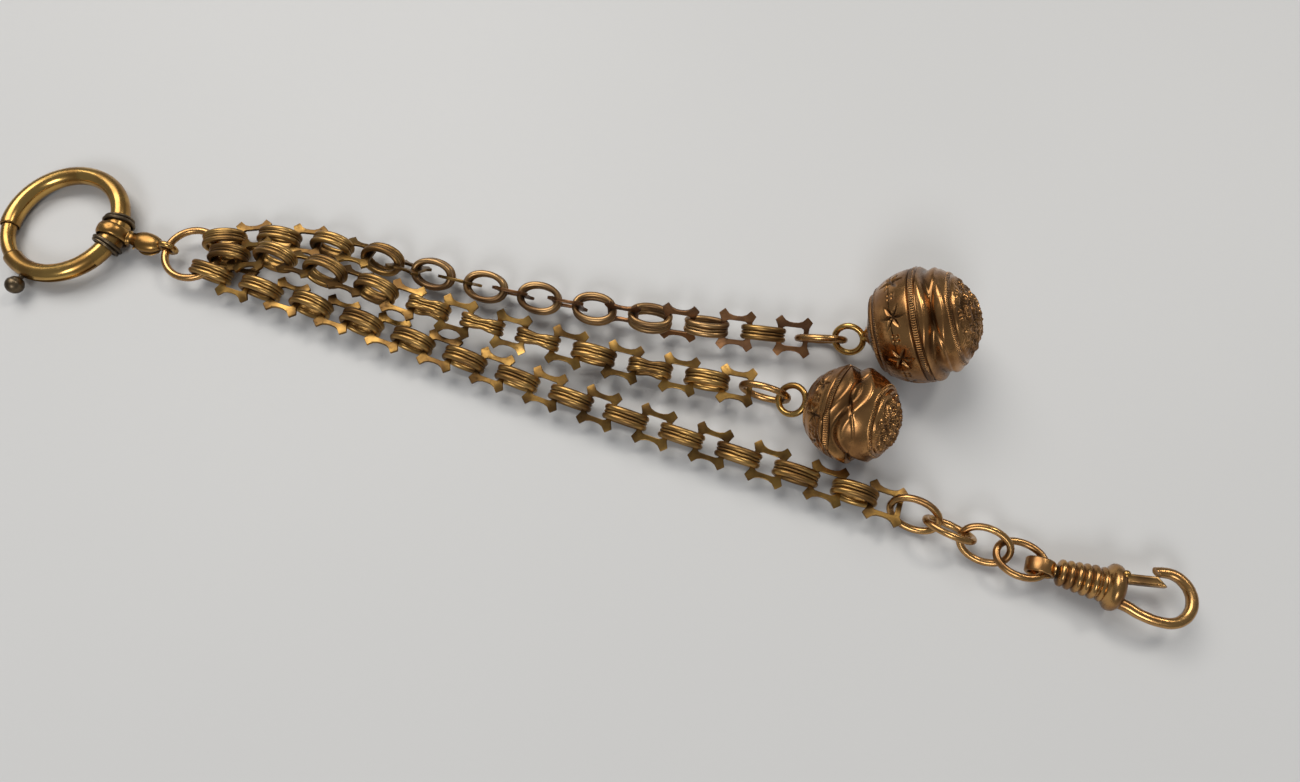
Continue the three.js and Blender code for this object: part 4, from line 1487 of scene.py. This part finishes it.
@dataclass
class Studio:
    """A pale table, soft light from the far left and the camera over it. Metres and degrees."""

    target: Vector
    elevation: float = 68.0
    distance: float = 0.1266
    lens: float = 26.6
    floor_colour: Colour = (0.62, 0.615, 0.6)

    def build(self) -> None:
        """Builds the table, the lights and the camera."""
        self.table()
        self.lights()
        self.camera()

    def table(self) -> None:
        """The sheet of pale card under the chain."""
        bpy.ops.mesh.primitive_grid_add(x_subdivisions=40, y_subdivisions=40, size=3.0, location=(0, 0, 0))
        floor = active()
        floor.name = "table"
        sheet = NodeSheet("pale_card")
        tone = sheet.between(sheet.noise(9.0, 3.0), 0.2, 0.8)
        fibre = sheet.noise(900.0, 4.0)
        color = sheet.mix(tone, self.floor_colour, tuple(0.965 * c for c in self.floor_colour))
        rough = sheet.math("MULTIPLY_ADD", fibre, 0.1, 0.5)
        floor.data.materials.append(sheet.surface(color, 0.0, rough, sheet.bump(fibre, 0.00001)))

    def lights(self) -> None:
        """One wide window-like light from the far left, a weaker one from the right, and a dim room."""
        for place, size, power, color in (
            ((-0.32, 0.6, 0.95), 0.8, 9.0, (1.0, 0.975, 0.945)),
            ((0.6, 0.5, 0.9), 0.22, 2.3, (1.0, 0.96, 0.9)),
            ((-0.2, -0.9, 0.8), 0.4, 4.1, (0.95, 0.97, 1.0)),
        ):
            bpy.ops.object.light_add(type="AREA", location=self.target + Vector(place))
            light = active()
            light.data.size = size
            light.data.energy = power
            light.data.color = color
            light.rotation_euler = (-Vector(place)).to_track_quat("-Z", "Y").to_euler()
        world = bpy.data.worlds.new("room")
        bpy.context.scene.world = world
        world.use_nodes = True
        background = world.node_tree.nodes["Background"]
        background.inputs["Color"].default_value = (0.82, 0.86, 0.92, 1)
        background.inputs["Strength"].default_value = 0.26
        bpy.context.scene.view_settings.view_transform = "Standard"

    def camera(self) -> None:
        """The camera, at its angle over the middle of the table."""
        tilt = math.radians(self.elevation)
        place = self.target + Vector((0, -math.cos(tilt), math.sin(tilt))) * self.distance
        bpy.ops.object.camera_add(location=place, rotation=(math.pi / 2 - tilt, 0, 0))
        camera = active()
        camera.data.lens = self.lens
        camera.data.sensor_width = 36.0
        camera.data.clip_start = 0.005
        bpy.context.scene.camera = camera


# ---- Assembly ----


def build_strands(hinges: Hinges) -> None:
    """Builds the three strands and the round-wire links after them.

    Args:
        hinges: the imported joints.
    """
    shapes = LinkShapes()
    made = {"loop": shapes.loop(), "waisted": shapes.loop(0.55), "plate": shapes.plate()}
    browned = {"brown": frozenset(range(5, 11)), "red": frozenset(range(6, 12))}
    Strand(hinges, made, "a", 11, "wire_link_a_hinge", **browned).build()
    Strand(hinges, made, "b", 10, "wire_link_b_hinge", waisted=frozenset({5, 6, 7, 9})).build()
    Strand(hinges, made, "c", 13, "wire_link_c1_hinge").build()
    for shape in made.values():
        bpy.data.objects.remove(shape)
    after = {"wire_link_a": "big_ball_swing", "wire_link_b": "small_ball_swing"}
    after["wire_link_c4"] = "swivel_eye_hinge"
    after |= {f"wire_link_c{k}": f"wire_link_c{k + 1}_hinge" for k in (1, 2, 3)}
    for name, far in after.items():
        WireLink(hinges, name, far).build()


def build_balls(hinges: Hinges) -> None:
    """Builds the two engraved balls.

    Args:
        hinges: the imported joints.
    """
    EngravedBall(
        hinges, "big_ball", radius=7.5, split=-2.4, stars=8, star_at=73.0, star_size=1.8, swirls=3,
        swirl_at=108.0, swirl_sway=4.0, swirl_half=5.0, rim_at=46.0, dome_at=128.0, turn=12.0,
    ).build()
    EngravedBall(
        hinges, "small_ball", radius=6.2, split=-2.0, stars=8, star_at=60.0, star_size=1.4, swirls=3,
        swirl_at=98.0, swirl_sway=11.0, swirl_half=7.0, rim_at=36.0, dome_at=132.0, turn=12.0,
    ).build()


def main() -> None:
    """Loads the frame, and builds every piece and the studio."""
    logging.basicConfig(level=logging.INFO, format="%(name)s: %(message)s")
    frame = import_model()
    hinges = Hinges({joint["name"]: joint for joint in frame["joints"]})
    BoltRing(hinges).build()
    ShackleLink(hinges).build()
    build_strands(hinges)
    build_balls(hinges)
    SwivelHook(hinges).build()
    for name in ("return_spring", "gate_spring"):
        node = frame["nodes"][name]
        node.data.materials.clear()
        node.data.materials.append(STEEL.material())
    low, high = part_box("jump_ring")
    ring = (low + high) / 2
    aim_along, aim_back = 0.0627, 0.0193  # from the jump ring to what the camera looks at, in metres
    Studio(Vector((ring.x + aim_along, ring.y - aim_back, 0.0))).build()


if __name__ == "__main__":
    main()
